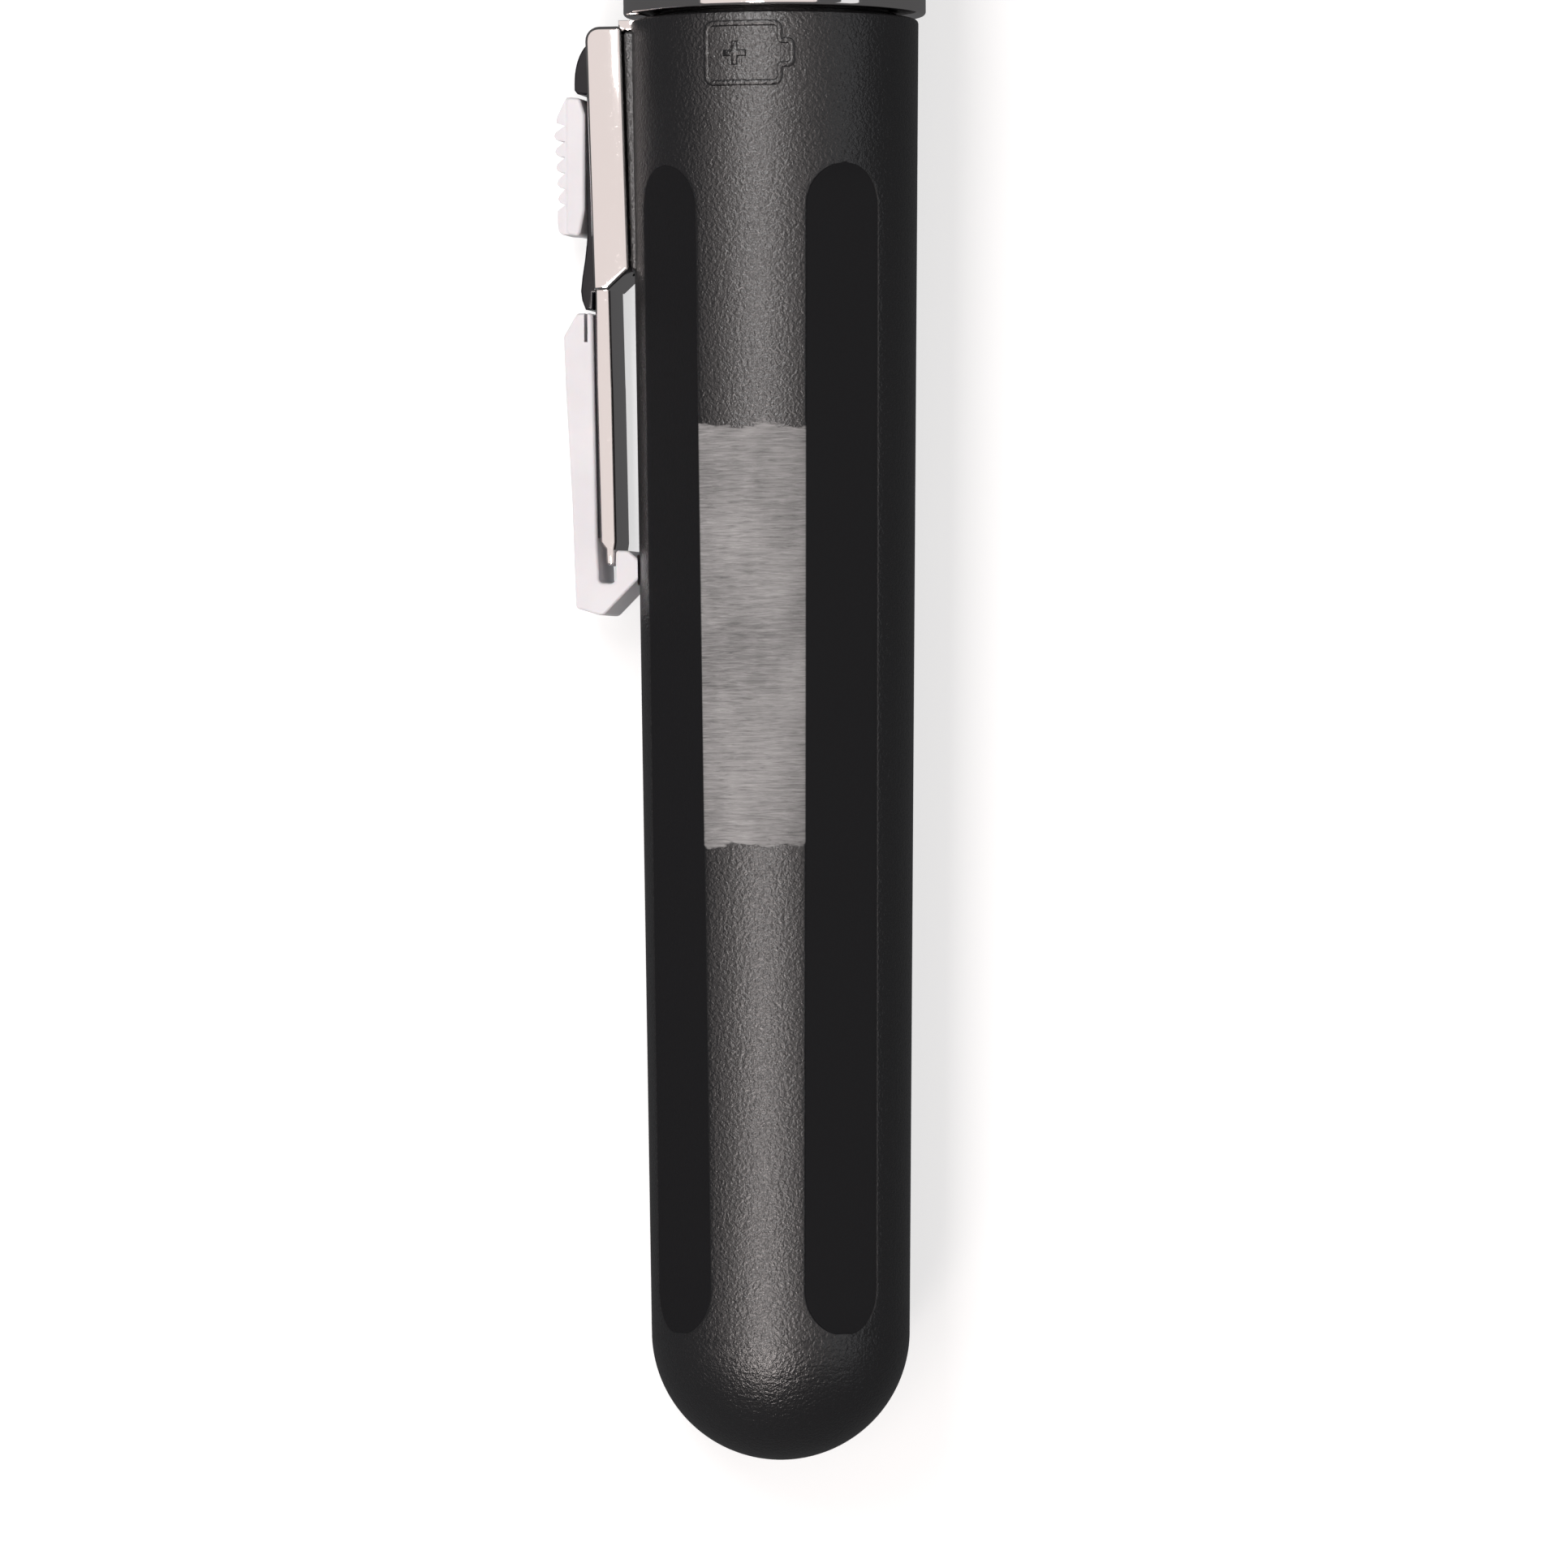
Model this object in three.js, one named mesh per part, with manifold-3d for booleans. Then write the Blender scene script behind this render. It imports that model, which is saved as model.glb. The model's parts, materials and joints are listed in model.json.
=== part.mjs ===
// A pen-shaped counterfeit detector: an ultraviolet lamp and a magnetic reading head in a screw-on nose,
// two AAA cells in a tapered barrel, and a pocket clip that carries the slide switch.
//
// Millimetres. Every piece is drawn in the pen's own frame: +Y runs along the pen towards the nose,
// Y = 0 is the barrel's mouth, and the clip is on the -X side. The last lines lay the finished pen on a
// table, where it rests on its collar, its butt and the corner of its clip.
import * as THREE from "three";
import { mergeVertices } from "three/addons/utils/BufferGeometryUtils.js";
import Module from "manifold-3d";

// ---- Driving dimensions ----
const FACETS = 40; // flats round a full circle
const SMALL_FACETS = 20; // flats round pins, lamps and screws
const GAP = 0.15; // room between two pieces that touch

const BARREL_LENGTH = 92;
const MOUTH_RADIUS = 9.2;
const BARREL_SLOPE = 0.01135; // radius lost per millimetre towards the butt
const CELL_BORE = 6.9;
const RIM_CHAMFER = 0.25;
const CELL_RIB_RADIUS = 5.65; // four low ribs inside hold the cells in the middle
const CELL_RIB_BOTTOM = -82;

const FLAT_WIDTH = 5.35; // the four long grip flats
const FLAT_ANGLES = [50, 130, -50, -130]; // degrees round from the clip
const FLAT_TOP = -9.5;
const FLAT_BOTTOM = -83.6;
const FLAT_RAMP = 2.7;

const THREAD_PITCH = 1.5;
const THREAD_RADIUS = 7.35;
const THREAD_BORE = 7.5;
const THREAD_BORE_END = -10;
const SEAL_BORE = 7.9;
const SEAL_BORE_END = -1.8;
const RIDGE = 0.4; // half thickness of the round thread
const RIDGE_ROOM = 0.25;

const CELL_RADIUS = 5.25; // AAA
const CELL_LENGTH = 44.5;
const NUB_RADIUS = 1.9;
const NUB_LENGTH = 0.9;
const REAR_CELL_START = -83.75;

const COLLAR_RADIUS = 9.67;
const COLLAR_START = 0.3;
const COLLAR_END = 5.15;
const COLLAR_BORE = 7.85;

const SPIGOT_RADIUS = 7.3;
const SPIGOT_NECK = 7.6;
const SPIGOT_BORE = 6;
const SPIGOT_START = -7.1;
const SPIGOT_END = 9.5;

const HEAD_START = 5.45;
const HEAD_NECK_START = 36.4;
const HEAD_NECK_END = 39.6;
const HEAD_NECK_RADIUS = 5.9;
const NOSE_END = 42.2;
const BEZEL_BORE = 6.05;
const LAMP_OFFSET = 2.2; // lamp and reading head lie either side of the axis
const READER_PROUD = 0.5;
const HEAD_BORE = 7.8;
const HEAD_NECK_BORE = 4.9;
const INDICATOR_HEIGHT = 22;

// The clip, as radii from the pen's axis and heights along the pen.
const CLIP_WIDTH = 5.6;
const CLIP_WALL = 0.75;
const CLIP_FOOT = 9.47; // at the mouth
const FOOT_SLOPE = 0.029;
const CLIP_TOP = 11.87;
const CLIP_START = -0.35;
const CLIP_END = -17.2;
const CLIP_END_TOP = 11.36;
const CLIP_END_FOOT = 10.4;
const CHANNEL_FLOOR = 10.1;
const SCREW_FLOOR = 10.8;
const SCREW_FLOOR_START = -13.9;
const SCREW_HEIGHT = -15.2;
const TONGUE_WIDTH = 3.4;
const TONGUE_LOW = -0.55;
const TONGUE_HIGH = 0.1;
const BOSS_START = -0.75;
const BOSS_END = -15.9;
const BOSS_ROOT = 8; // inside the barrel's wall
const CHANNEL_WIDTH = CLIP_WIDTH - 2 * CLIP_WALL;
const CLIP_CORNER = 1.1;
const OUTSIDE = 13; // a radius beyond the clip frame, where its cutters end
const TRAY_TOP = 10.5;
const PAD_TOP = 10.75; // outer face of the two switch pads
const PAD_WIDTH = 1.8;
const WINDOW_TOP = -8.9; // opening for the switch, through the barrel and the clip's floor
const WINDOW_BOTTOM = -13.4;
const WINDOW_WIDTH = 3;
const PAD_THICKNESS = 0.2;
const STRIP_RADIUS = 6.35; // inner face of the brass strip
const STRIP_THICKNESS = 0.25;
const STRIP_LEG = -13.2;
const TERMINAL_FOOT = 7;
const TERMINAL_LEG = -9.45;
const COVER_WIDTH = 4;
const COVER_UNDERSIDE = 11.5;
const COVER_TOP = 11.9;
const HOOD_TOP = 12.7;
const HOOD_END = -4.6;
const HOOD_CORNER = 1.5;
const COVER_END = -18.4;
const SLOT_WIDTH = 1.9;

const SLIDER_START = -4.85;
const SLIDER_END = -13.7;
const SLIDER_BASE = 12;
const SLIDER_WIDTH = 3.9;
const SLIDER_TRAVEL = 2;
const RIB_COUNT = 5;
const RIB_PITCH = 1.01;
const FIRST_RIB = -7.25;
const RIB_TOP = 14.1;
const RIB_VALLEY = 13.45;
const NECK_TOP = -7.9; // the slider's foot, which reaches through the cover
const NECK_BOTTOM = -9.5;
const NECK_WIDTH = 1.4;

const SCREW_RADIUS = 0.85;

const ARM_START = -17.4;
const ARM_BEND = -33.3; // where the arm narrows to its rounded end
const ARM_BEND_TOP = 11.1;
const ARM_BEND_FOOT = 10.08;
const ARM_WIDTH = 4.4;
const LINER_WIDTH = 3.6;
const LINER_THICKNESS = 0.28;
const LINER_START = -18.8;
const LINER_END = -33;
const TIP_WIDTH = 5;
const TIP_START = -18.65;
const TIP_SHOULDER = 13.39;
const TIP_SHOULDER_HEIGHT = -20.1;
const PEG_HEIGHT = -21.5;
const PEG_LENGTH = 1.3;
const PEG_WIDTH = 1.4;

// ---- Colours ----
const PALETTE = {
  black: { color: 0x1b1b1d, roughness: 0.55, metalness: 0 },
  gloss: { color: 0x0c0c0f, roughness: 0.12, metalness: 0 },
  chrome: { color: 0xd8d6d6, roughness: 0.08, metalness: 1 },
  white: { color: 0xf2f1f3, roughness: 0.35, metalness: 0 },
  brass: { color: 0xc8a250, roughness: 0.35, metalness: 1 },
  steel: { color: 0x9c9ea2, roughness: 0.3, metalness: 1 },
  rubber: { color: 0x111111, roughness: 0.8, metalness: 0 },
  cell: { color: 0x2f6d4a, roughness: 0.35, metalness: 0 },
  board: { color: 0x14582e, roughness: 0.5, metalness: 0 },
  chip: { color: 0x161616, roughness: 0.5, metalness: 0 },
  ceramic: { color: 0xb59a6a, roughness: 0.6, metalness: 0 },
  violet: { color: 0xb7a6e6, roughness: 0.1, metalness: 0 },
  red: { color: 0xb52a25, roughness: 0.15, metalness: 0 },
  clear: { color: 0xdfe6ee, roughness: 0.05, metalness: 0 },
};

const pen = new THREE.Group();

function addPiece(name, finish, geometry) {
  const mesh = new THREE.Mesh(geometry, new THREE.MeshStandardMaterial(PALETTE[finish]));
  mesh.name = name;
  pen.add(mesh);
}

// ---- Solids ----
const wasm = await Module();
wasm.setup();
const { degToRad } = THREE.MathUtils;

function toSolid(geometry) {
  const bare = new THREE.BufferGeometry();
  bare.setAttribute("position", geometry.getAttribute("position"));
  bare.setIndex(geometry.getIndex());
  const merged = mergeVertices(bare, 1e-4);
  return new wasm.Manifold(
    new wasm.Mesh({
      numProp: 3,
      vertProperties: merged.getAttribute("position").array,
      triVerts: new Uint32Array(merged.getIndex().array),
    }),
  );
}

function toGeometry(solid) {
  const { vertProperties, triVerts } = solid.getMesh();
  const geometry = new THREE.BufferGeometry();
  geometry.setAttribute("position", new THREE.BufferAttribute(vertProperties, 3));
  geometry.setIndex(new THREE.BufferAttribute(triVerts, 1));
  geometry.computeVertexNormals();
  return geometry;
}

function join(...geometries) {
  return toGeometry(geometries.map(toSolid).reduce((whole, next) => whole.add(next)));
}

function cut(body, ...cutters) {
  return toGeometry(cutters.map(toSolid).reduce((rest, cutter) => rest.subtract(cutter), toSolid(body)));
}

// A closed outline of [radius, height] pairs, spun round the pen's axis.
function spin(outline, facets = FACETS) {
  return new THREE.LatheGeometry(outline.map(([r, y]) => new THREE.Vector2(r, y)), facets);
}

// A tube between two radii and two heights.
function tube(inner, outer, low, high, facets = FACETS) {
  return spin([[inner, low], [outer, low], [outer, high], [inner, high], [inner, low]], facets);
}

function disc(radius, low, high, facets = FACETS) {
  return spin([[0, low], [radius, low], [radius, high], [0, high]], facets);
}

// An outline of [radius, height] pairs on the clip's side of the pen, as a plate of the given width.
function clipPlate(outline, width) {
  const shape = new THREE.Shape(outline.map(([r, y]) => new THREE.Vector2(-r, y)));
  const plate = new THREE.ExtrudeGeometry(shape, { depth: width, bevelEnabled: false });
  return plate.translate(0, 0, -width / 2);
}

function clipBlock(nearRadius, farRadius, low, high, width) {
  const block = new THREE.BoxGeometry(farRadius - nearRadius, high - low, width);
  return block.translate(-(nearRadius + farRadius) / 2, (low + high) / 2, 0);
}

// A block given by its two opposite corners.
function block(low, high) {
  const size = high.map((value, i) => value - low[i]);
  const middle = high.map((value, i) => (value + low[i]) / 2);
  return new THREE.BoxGeometry(...size).translate(...middle);
}

// A round pin that points away from the axis on the clip's side.
function radialPin(radius, nearRadius, farRadius, height) {
  const pin = new THREE.CylinderGeometry(radius, radius, farRadius - nearRadius, SMALL_FACETS);
  return pin.rotateZ(Math.PI / 2).translate(-(nearRadius + farRadius) / 2, height, 0);
}

// A round rod that winds round the pen's axis, from one radius and height to another.
class Helix extends THREE.Curve {
  constructor(start, end, turns, firstTurn = 0) {
    super();
    Object.assign(this, { start, end, turns, firstTurn });
  }

  getPoint(t, target = new THREE.Vector3()) {
    const angle = 2 * Math.PI * (this.firstTurn + t * this.turns);
    const radius = THREE.MathUtils.lerp(this.start[0], this.end[0], t);
    const height = THREE.MathUtils.lerp(this.start[1], this.end[1], t);
    return target.set(radius * Math.cos(angle), height, -radius * Math.sin(angle));
  }
}

function coil(path, thickness, stepsPerTurn = 20) {
  const section = new THREE.Shape().absarc(0, 0, thickness, 0, 2 * Math.PI);
  return new THREE.ExtrudeGeometry(section, {
    steps: Math.ceil(stepsPerTurn * path.turns),
    curveSegments: 3,
    extrudePath: path,
  });
}

// A length of the right-hand thread. Every length lies on one and the same helix.
function thread(low, high, thickness) {
  const turns = (high - low) / THREAD_PITCH;
  const path = new Helix([THREAD_RADIUS, low], [THREAD_RADIUS, high], turns, low / THREAD_PITCH);
  return coil(path, thickness);
}

// Points on a quarter circle or any other arc, as [radius, height] pairs.
function arc(centre, radius, fromDegrees, toDegrees, steps) {
  return Array.from({ length: steps + 1 }, (_, i) => {
    const angle = degToRad(THREE.MathUtils.lerp(fromDegrees, toDegrees, i / steps));
    return [centre[0] + radius * Math.cos(angle), centre[1] + radius * Math.sin(angle)];
  });
}

// ---- Barrel ----
const barrelRadius = (height) => MOUTH_RADIUS + BARREL_SLOPE * height;
// The clip's foot leans in towards the butt, and the strip under it on the barrel follows.
const footRadius = (height) => CLIP_FOOT + FOOT_SLOPE * height;
// The butt is a half ball that carries on from the barrel's taper.
const BUTT_RADIUS = (MOUTH_RADIUS - BARREL_SLOPE * BARREL_LENGTH) / (1 - BARREL_SLOPE);
const BUTT_CENTRE = BUTT_RADIUS - BARREL_LENGTH;

function gripFlatCutter() {
  const clear = MOUTH_RADIUS + 2;
  const floor = (height) => Math.sqrt(barrelRadius(height) ** 2 - (FLAT_WIDTH / 2) ** 2) - 0.05;
  const low = FLAT_BOTTOM + FLAT_RAMP;
  const high = FLAT_TOP - FLAT_RAMP;
  const outline = [
    [clear, FLAT_BOTTOM],
    [barrelRadius(FLAT_BOTTOM), FLAT_BOTTOM],
    [floor(low), low],
    [floor(high), high],
    [barrelRadius(FLAT_TOP), FLAT_TOP],
    [clear, FLAT_TOP],
  ];
  return clipPlate(outline, FLAT_WIDTH);
}

function makeBarrel() {
  const shell = spin([
    ...arc([0, BUTT_CENTRE], BUTT_RADIUS, -90, 0, 8),
    [barrelRadius(0), -RIM_CHAMFER],
    [MOUTH_RADIUS - RIM_CHAMFER, 0],
    [SEAL_BORE, 0],
    [SEAL_BORE, SEAL_BORE_END],
    [THREAD_BORE, SEAL_BORE_END],
    [THREAD_BORE, THREAD_BORE_END],
    [CELL_BORE, THREAD_BORE_END],
    ...arc([0, BUTT_CENTRE], CELL_BORE, 0, -90, 5),
  ]);
  const boss = clipPlate(
    [
      [BOSS_ROOT, BOSS_START],
      [footRadius(BOSS_START) - GAP, BOSS_START],
      [footRadius(BOSS_END) - GAP, BOSS_END],
      [BOSS_ROOT, BOSS_END],
    ],
    CLIP_WIDTH,
  );
  const ribs = [45, 135, 225, 315].map((angle) =>
    clipBlock(CELL_RIB_RADIUS, CELL_BORE + 0.3, CELL_RIB_BOTTOM, THREAD_BORE_END - 0.5, 1).rotateY(
      degToRad(angle),
    ),
  );
  const flats = FLAT_ANGLES.map((angle) => gripFlatCutter().rotateY(degToRad(angle)));
  const threadGroove = thread(SPIGOT_START - 0.6, SEAL_BORE_END + 1, RIDGE + RIDGE_ROOM);
  const switchWindow = clipBlock(6, 10.5, WINDOW_BOTTOM, WINDOW_TOP, WINDOW_WIDTH);
  const screwHole = radialPin(1.1, 6, 10.5, SCREW_HEIGHT);
  const tongueNotch = clipBlock(8.35, 10.5, TONGUE_LOW - GAP, 0.5, TONGUE_WIDTH + 2 * GAP);
  addPiece(
    "barrel",
    "black",
    cut(join(shell, boss, ...ribs), ...flats, threadGroove, switchWindow, screwHole, tongueNotch),
  );
}

// ---- Cells and their contacts ----
function makeCell(name, start) {
  const shoulder = start + CELL_LENGTH - NUB_LENGTH;
  const can = [
    [0, start],
    [CELL_RADIUS - 0.4, start],
    [CELL_RADIUS, start + 0.4],
    [CELL_RADIUS, shoulder - 0.4],
    [CELL_RADIUS - 0.4, shoulder],
    [NUB_RADIUS, shoulder],
    [NUB_RADIUS, shoulder + NUB_LENGTH],
    [0, shoulder + NUB_LENGTH],
  ];
  addPiece(name, "cell", spin(can, 32));
}

function makeButtContacts() {
  const plate = disc(5.9, -86.9, -86.5, 32);
  const tab = clipBlock(5.6, 5.85, -86.7, -83.9, 3);
  addPiece("butt_contact_plate", "steel", join(plate, tab));
  addPiece("butt_spring", "steel", coil(new Helix([4.2, -86.05], [2.6, -84.15], 3), 0.28, 14));
}

// One stamped strip runs from the butt, under the clip's screw and up through the barrel's wall to the
// switch, where its end is the rear switch pad.
function makeGroundStrip() {
  const legTop = STRIP_LEG + STRIP_THICKNESS;
  const strip = clipBlock(STRIP_RADIUS, STRIP_RADIUS + STRIP_THICKNESS, -83.6, legTop, 3);
  const leg = clipBlock(STRIP_RADIUS, PAD_TOP, STRIP_LEG, legTop, PAD_WIDTH);
  const pad = clipBlock(PAD_TOP - PAD_THICKNESS, PAD_TOP, STRIP_LEG, -10.6, PAD_WIDTH);
  addPiece("ground_strip", "brass", cut(join(strip, leg, pad), radialPin(1, 6, 7, SCREW_HEIGHT)));
}

// ---- Slide switch, inside the clip's channel ----
function makeSwitch() {
  const tray = clipBlock(TRAY_TOP - 0.3, TRAY_TOP, -12.75, -4.9, CHANNEL_WIDTH - 0.4);
  const plug = clipBlock(7.6, TRAY_TOP - 0.1, -12.6, -9.75, 2.6);
  const terminalSlot = clipBlock(TRAY_TOP - 0.5, TRAY_TOP + 0.2, -9.6, -9, PAD_WIDTH + 2 * GAP);
  addPiece("switch_body", "black", cut(join(tray, plug), terminalSlot));

  const pad = clipBlock(PAD_TOP - PAD_THICKNESS, PAD_TOP, TERMINAL_LEG, -7.4, PAD_WIDTH);
  const leg = clipBlock(TERMINAL_FOOT, PAD_TOP, TERMINAL_LEG, TERMINAL_LEG + 0.25, PAD_WIDTH);
  const foot = clipBlock(TERMINAL_FOOT, TERMINAL_FOOT + 0.25, TERMINAL_LEG, -7.85, PAD_WIDTH);
  addPiece("head_terminal", "brass", join(pad, leg, foot));
}

// ---- Clip ----
function makeClipFrame() {
  const side = clipPlate(
    [
      [footRadius(CLIP_START), CLIP_START],
      ...arc([CLIP_TOP - CLIP_CORNER, CLIP_START - CLIP_CORNER], CLIP_CORNER, 90, 0, 4),
      [CLIP_END_TOP, CLIP_END],
      [CLIP_END_FOOT, CLIP_END],
      [CLIP_END_FOOT - 0.03, CLIP_END + 0.25],
      [footRadius(BOSS_END), CLIP_END + 1.2],
    ],
    CLIP_WIDTH,
  );
  const channel = clipBlock(CHANNEL_FLOOR, OUTSIDE, SCREW_FLOOR_START, CLIP_START - 0.8, CHANNEL_WIDTH);
  const tailStart = SCREW_FLOOR_START + 0.1;
  const tailChannel = clipBlock(SCREW_FLOOR, OUTSIDE, CLIP_END - 0.3, tailStart, CHANNEL_WIDTH);
  const window = clipBlock(8.5, CHANNEL_FLOOR + 0.2, WINDOW_BOTTOM, WINDOW_TOP, WINDOW_WIDTH + 0.2);
  const tongue = clipBlock(8.55, CLIP_FOOT + 0.4, TONGUE_LOW, TONGUE_HIGH, TONGUE_WIDTH);
  const screwHole = radialPin(1, 8.5, SCREW_FLOOR - 0.15, SCREW_HEIGHT);
  const hollowFoot = spin([
    [0, CLIP_END],
    [barrelRadius(CLIP_END) + GAP, CLIP_END],
    [barrelRadius(TONGUE_LOW - GAP) + GAP, TONGUE_LOW - GAP],
    [0, TONGUE_LOW - GAP],
  ]);
  addPiece(
    "clip_frame",
    "chrome",
    cut(join(side, tongue), channel, tailChannel, window, screwHole, hollowFoot),
  );
}

function makeClipScrew() {
  const head = radialPin(1.6, 5.5, 6.2, SCREW_HEIGHT);
  const shank = radialPin(SCREW_RADIUS, 6.1, SCREW_FLOOR - 0.3, SCREW_HEIGHT);
  const slot = clipBlock(5.3, 5.8, SCREW_HEIGHT - 0.25, SCREW_HEIGHT + 0.25, 4);
  addPiece("clip_screw", "steel", cut(join(head, shank), slot));
}

function makeClipCover() {
  const body = clipPlate(
    [
      [COVER_UNDERSIDE, CLIP_START - 1],
      [COVER_UNDERSIDE + 0.4, CLIP_START - 0.8],
      ...arc([HOOD_TOP - HOOD_CORNER, CLIP_START - 2.1], HOOD_CORNER, 60, 0, 5),
      [HOOD_TOP - 0.05, HOOD_END + 0.3],
      [HOOD_TOP - 0.35, HOOD_END],
      [COVER_TOP, HOOD_END],
      [COVER_TOP, -14],
      [COVER_TOP + 0.12, -15.1],
      [COVER_TOP + 0.44, CLIP_END],
      [COVER_TOP + 0.4, -17.7],
      [COVER_TOP + 0.1, COVER_END],
      [CLIP_END_TOP + GAP, COVER_END],
      [CLIP_END_TOP + GAP, CLIP_END - 0.1],
      [SCREW_FLOOR + GAP, CLIP_END - 0.1],
      [SCREW_FLOOR + GAP, SCREW_FLOOR_START - 0.1],
      [COVER_UNDERSIDE, SCREW_FLOOR_START + 0.3],
    ],
    COVER_WIDTH,
  );
  const slotBottom = NECK_BOTTOM - SLIDER_TRAVEL - 0.25;
  const slot = clipBlock(COVER_UNDERSIDE - 0.5, OUTSIDE, slotBottom, NECK_TOP + 0.25, SLOT_WIDTH);
  addPiece("clip_cover", "gloss", cut(body, slot));
}

// ---- Thumb slider and what it carries ----
// One rib of the slider's grip: it slopes out to a round lip that looks towards the butt.
function ribOutline(index) {
  const lip = FIRST_RIB - index * RIB_PITCH;
  return [
    [RIB_VALLEY, lip + 0.62],
    [RIB_TOP - 0.2, lip + 0.25],
    [RIB_TOP, lip],
    [RIB_TOP - 0.12, lip - 0.24],
    [RIB_VALLEY, lip - 0.34],
  ];
}

function makeThumbSlider() {
  const ribs = Array.from({ length: RIB_COUNT }, (_, i) => ribOutline(i)).flat();
  const body = clipPlate(
    [
      [SLIDER_BASE, SLIDER_START - 0.9],
      [SLIDER_BASE + 0.35, SLIDER_START - 0.1],
      [12.95, SLIDER_START],
      [13.25, SLIDER_START - 0.15],
      [13.7, SLIDER_START - 0.9],
      [13.92, SLIDER_START - 1.65],
      ...ribs,
      [13.75, SLIDER_END + 1.6],
      [13.7, SLIDER_END + 0.4],
      [13.2, SLIDER_END],
      [SLIDER_BASE + 0.2, SLIDER_END],
      [SLIDER_BASE, SLIDER_END + 1.7],
    ],
    SLIDER_WIDTH,
  );
  const neck = clipBlock(COVER_UNDERSIDE - 0.3, SLIDER_BASE + 0.2, NECK_BOTTOM, NECK_TOP, NECK_WIDTH);
  addPiece("thumb_slider", "white", join(body, neck));
}

function makeSliderCarrier() {
  const top = COVER_UNDERSIDE - 0.1;
  const carrier = clipBlock(top - 0.3, top, -10.2, -5.4, CHANNEL_WIDTH - 0.6);
  const pocket = clipBlock(top - 0.5, top + 0.1, NECK_BOTTOM - GAP, NECK_TOP + GAP, NECK_WIDTH + 2 * GAP);
  addPiece("slider_carrier", "black", cut(carrier, pocket));
  addPiece("wiper_contact", "brass", clipBlock(PAD_TOP + 0.1, PAD_TOP + 0.25, -9.5, -5.9, PAD_WIDTH));
}

// ---- Spring arm of the clip ----
// The arm's outer and inner faces, which lean in towards its end.
const { mapLinear } = THREE.MathUtils;
const armTop = (height) => mapLinear(height, ARM_START, ARM_BEND, CLIP_END_TOP, ARM_BEND_TOP);
const armFoot = (height) => mapLinear(height, ARM_START, ARM_BEND, CLIP_END_FOOT, ARM_BEND_FOOT);

// A strip that follows the arm's outer face, between two depths measured from it.
function armStrip(below, above, low, high, width) {
  return clipPlate(
    [
      [armTop(high) + above, high],
      [armTop(high) - below, high],
      [armTop(low) - below, low],
      [armTop(low) + above, low],
    ],
    width,
  );
}

function makeClipArm() {
  const arm = clipPlate(
    [
      [armTop(ARM_START), ARM_START],
      [armFoot(ARM_START), ARM_START],
      [armFoot(ARM_BEND), ARM_BEND],
      [10.2, -33.7],
      [10.2, -34.6],
      [10.45, -34.8],
      [10.7, -34.5],
      [10.75, -33.7],
      [armTop(ARM_BEND), ARM_BEND],
    ],
    ARM_WIDTH,
  );
  const seat = armStrip(LINER_THICKNESS, 0.5, LINER_END - 0.1, LINER_START + 0.1, LINER_WIDTH + 0.1);
  const pegHole = clipBlock(9.8, 12.6, PEG_HEIGHT - 0.8, PEG_HEIGHT + 0.8, PEG_WIDTH + 0.3);
  addPiece("clip_arm", "chrome", cut(arm, seat, pegHole));

  const liner = armStrip(LINER_THICKNESS - 0.06, 0.06, LINER_END, LINER_START, LINER_WIDTH);
  addPiece("clip_liner", "gloss", cut(liner, pegHole));
}

// The white tip lies along the outside of the arm and hooks round its end, back to the barrel. The end of
// the hook is hollowed to lie round the barrel.
function makeClipTip() {
  const bar = clipPlate(
    [
      [armTop(TIP_START) + GAP, TIP_START],
      [12.5, TIP_START],
      [TIP_SHOULDER, TIP_SHOULDER_HEIGHT],
      [12.66, -37],
      [12.66, -37.65],
      [10.89, -38.1],
      [8.4, -35.6],
      [8.4, -34.6],
      [8.68, -34.2],
      [9.2, -33.85],
      [9.9, -33.77],
      [10.05, -34],
      [10.05, -35.7],
      [10.3, -35.95],
      [11, -35.9],
      [11.14, -35.6],
      [armTop(ARM_BEND) + GAP, ARM_BEND],
    ],
    TIP_WIDTH,
  );
  const peg = clipBlock(10.6, 12, PEG_HEIGHT - PEG_LENGTH / 2, PEG_HEIGHT + PEG_LENGTH / 2, PEG_WIDTH);
  const hollow = spin([
    [0, -39],
    [barrelRadius(-39) + GAP, -39],
    [barrelRadius(-33) + GAP, -33],
    [0, -33],
  ]);
  addPiece("clip_tip", "white", cut(join(bar, peg), hollow));
}

// ---- Collar ----
function makeCollar(flatDownTwist) {
  const edge = 0.25;
  const ring = spin([
    [COLLAR_BORE, COLLAR_START],
    [COLLAR_RADIUS - edge, COLLAR_START],
    [COLLAR_RADIUS, COLLAR_START + edge],
    [COLLAR_RADIUS, COLLAR_END - edge],
    [COLLAR_RADIUS - edge, COLLAR_END],
    [COLLAR_BORE, COLLAR_END],
    [COLLAR_BORE, COLLAR_START],
  ]);
  addPiece("collar_ring", "chrome", ring.rotateY(flatDownTwist));
}

// ---- Head ----
// The outside of the head keeps the barrel's radius, then draws in along a smooth curve.
function headRadius(height) {
  const t = THREE.MathUtils.smoothstep(height, 9, HEAD_NECK_START + 6);
  return THREE.MathUtils.lerp(MOUTH_RADIUS, 6.3, t);
}

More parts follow.
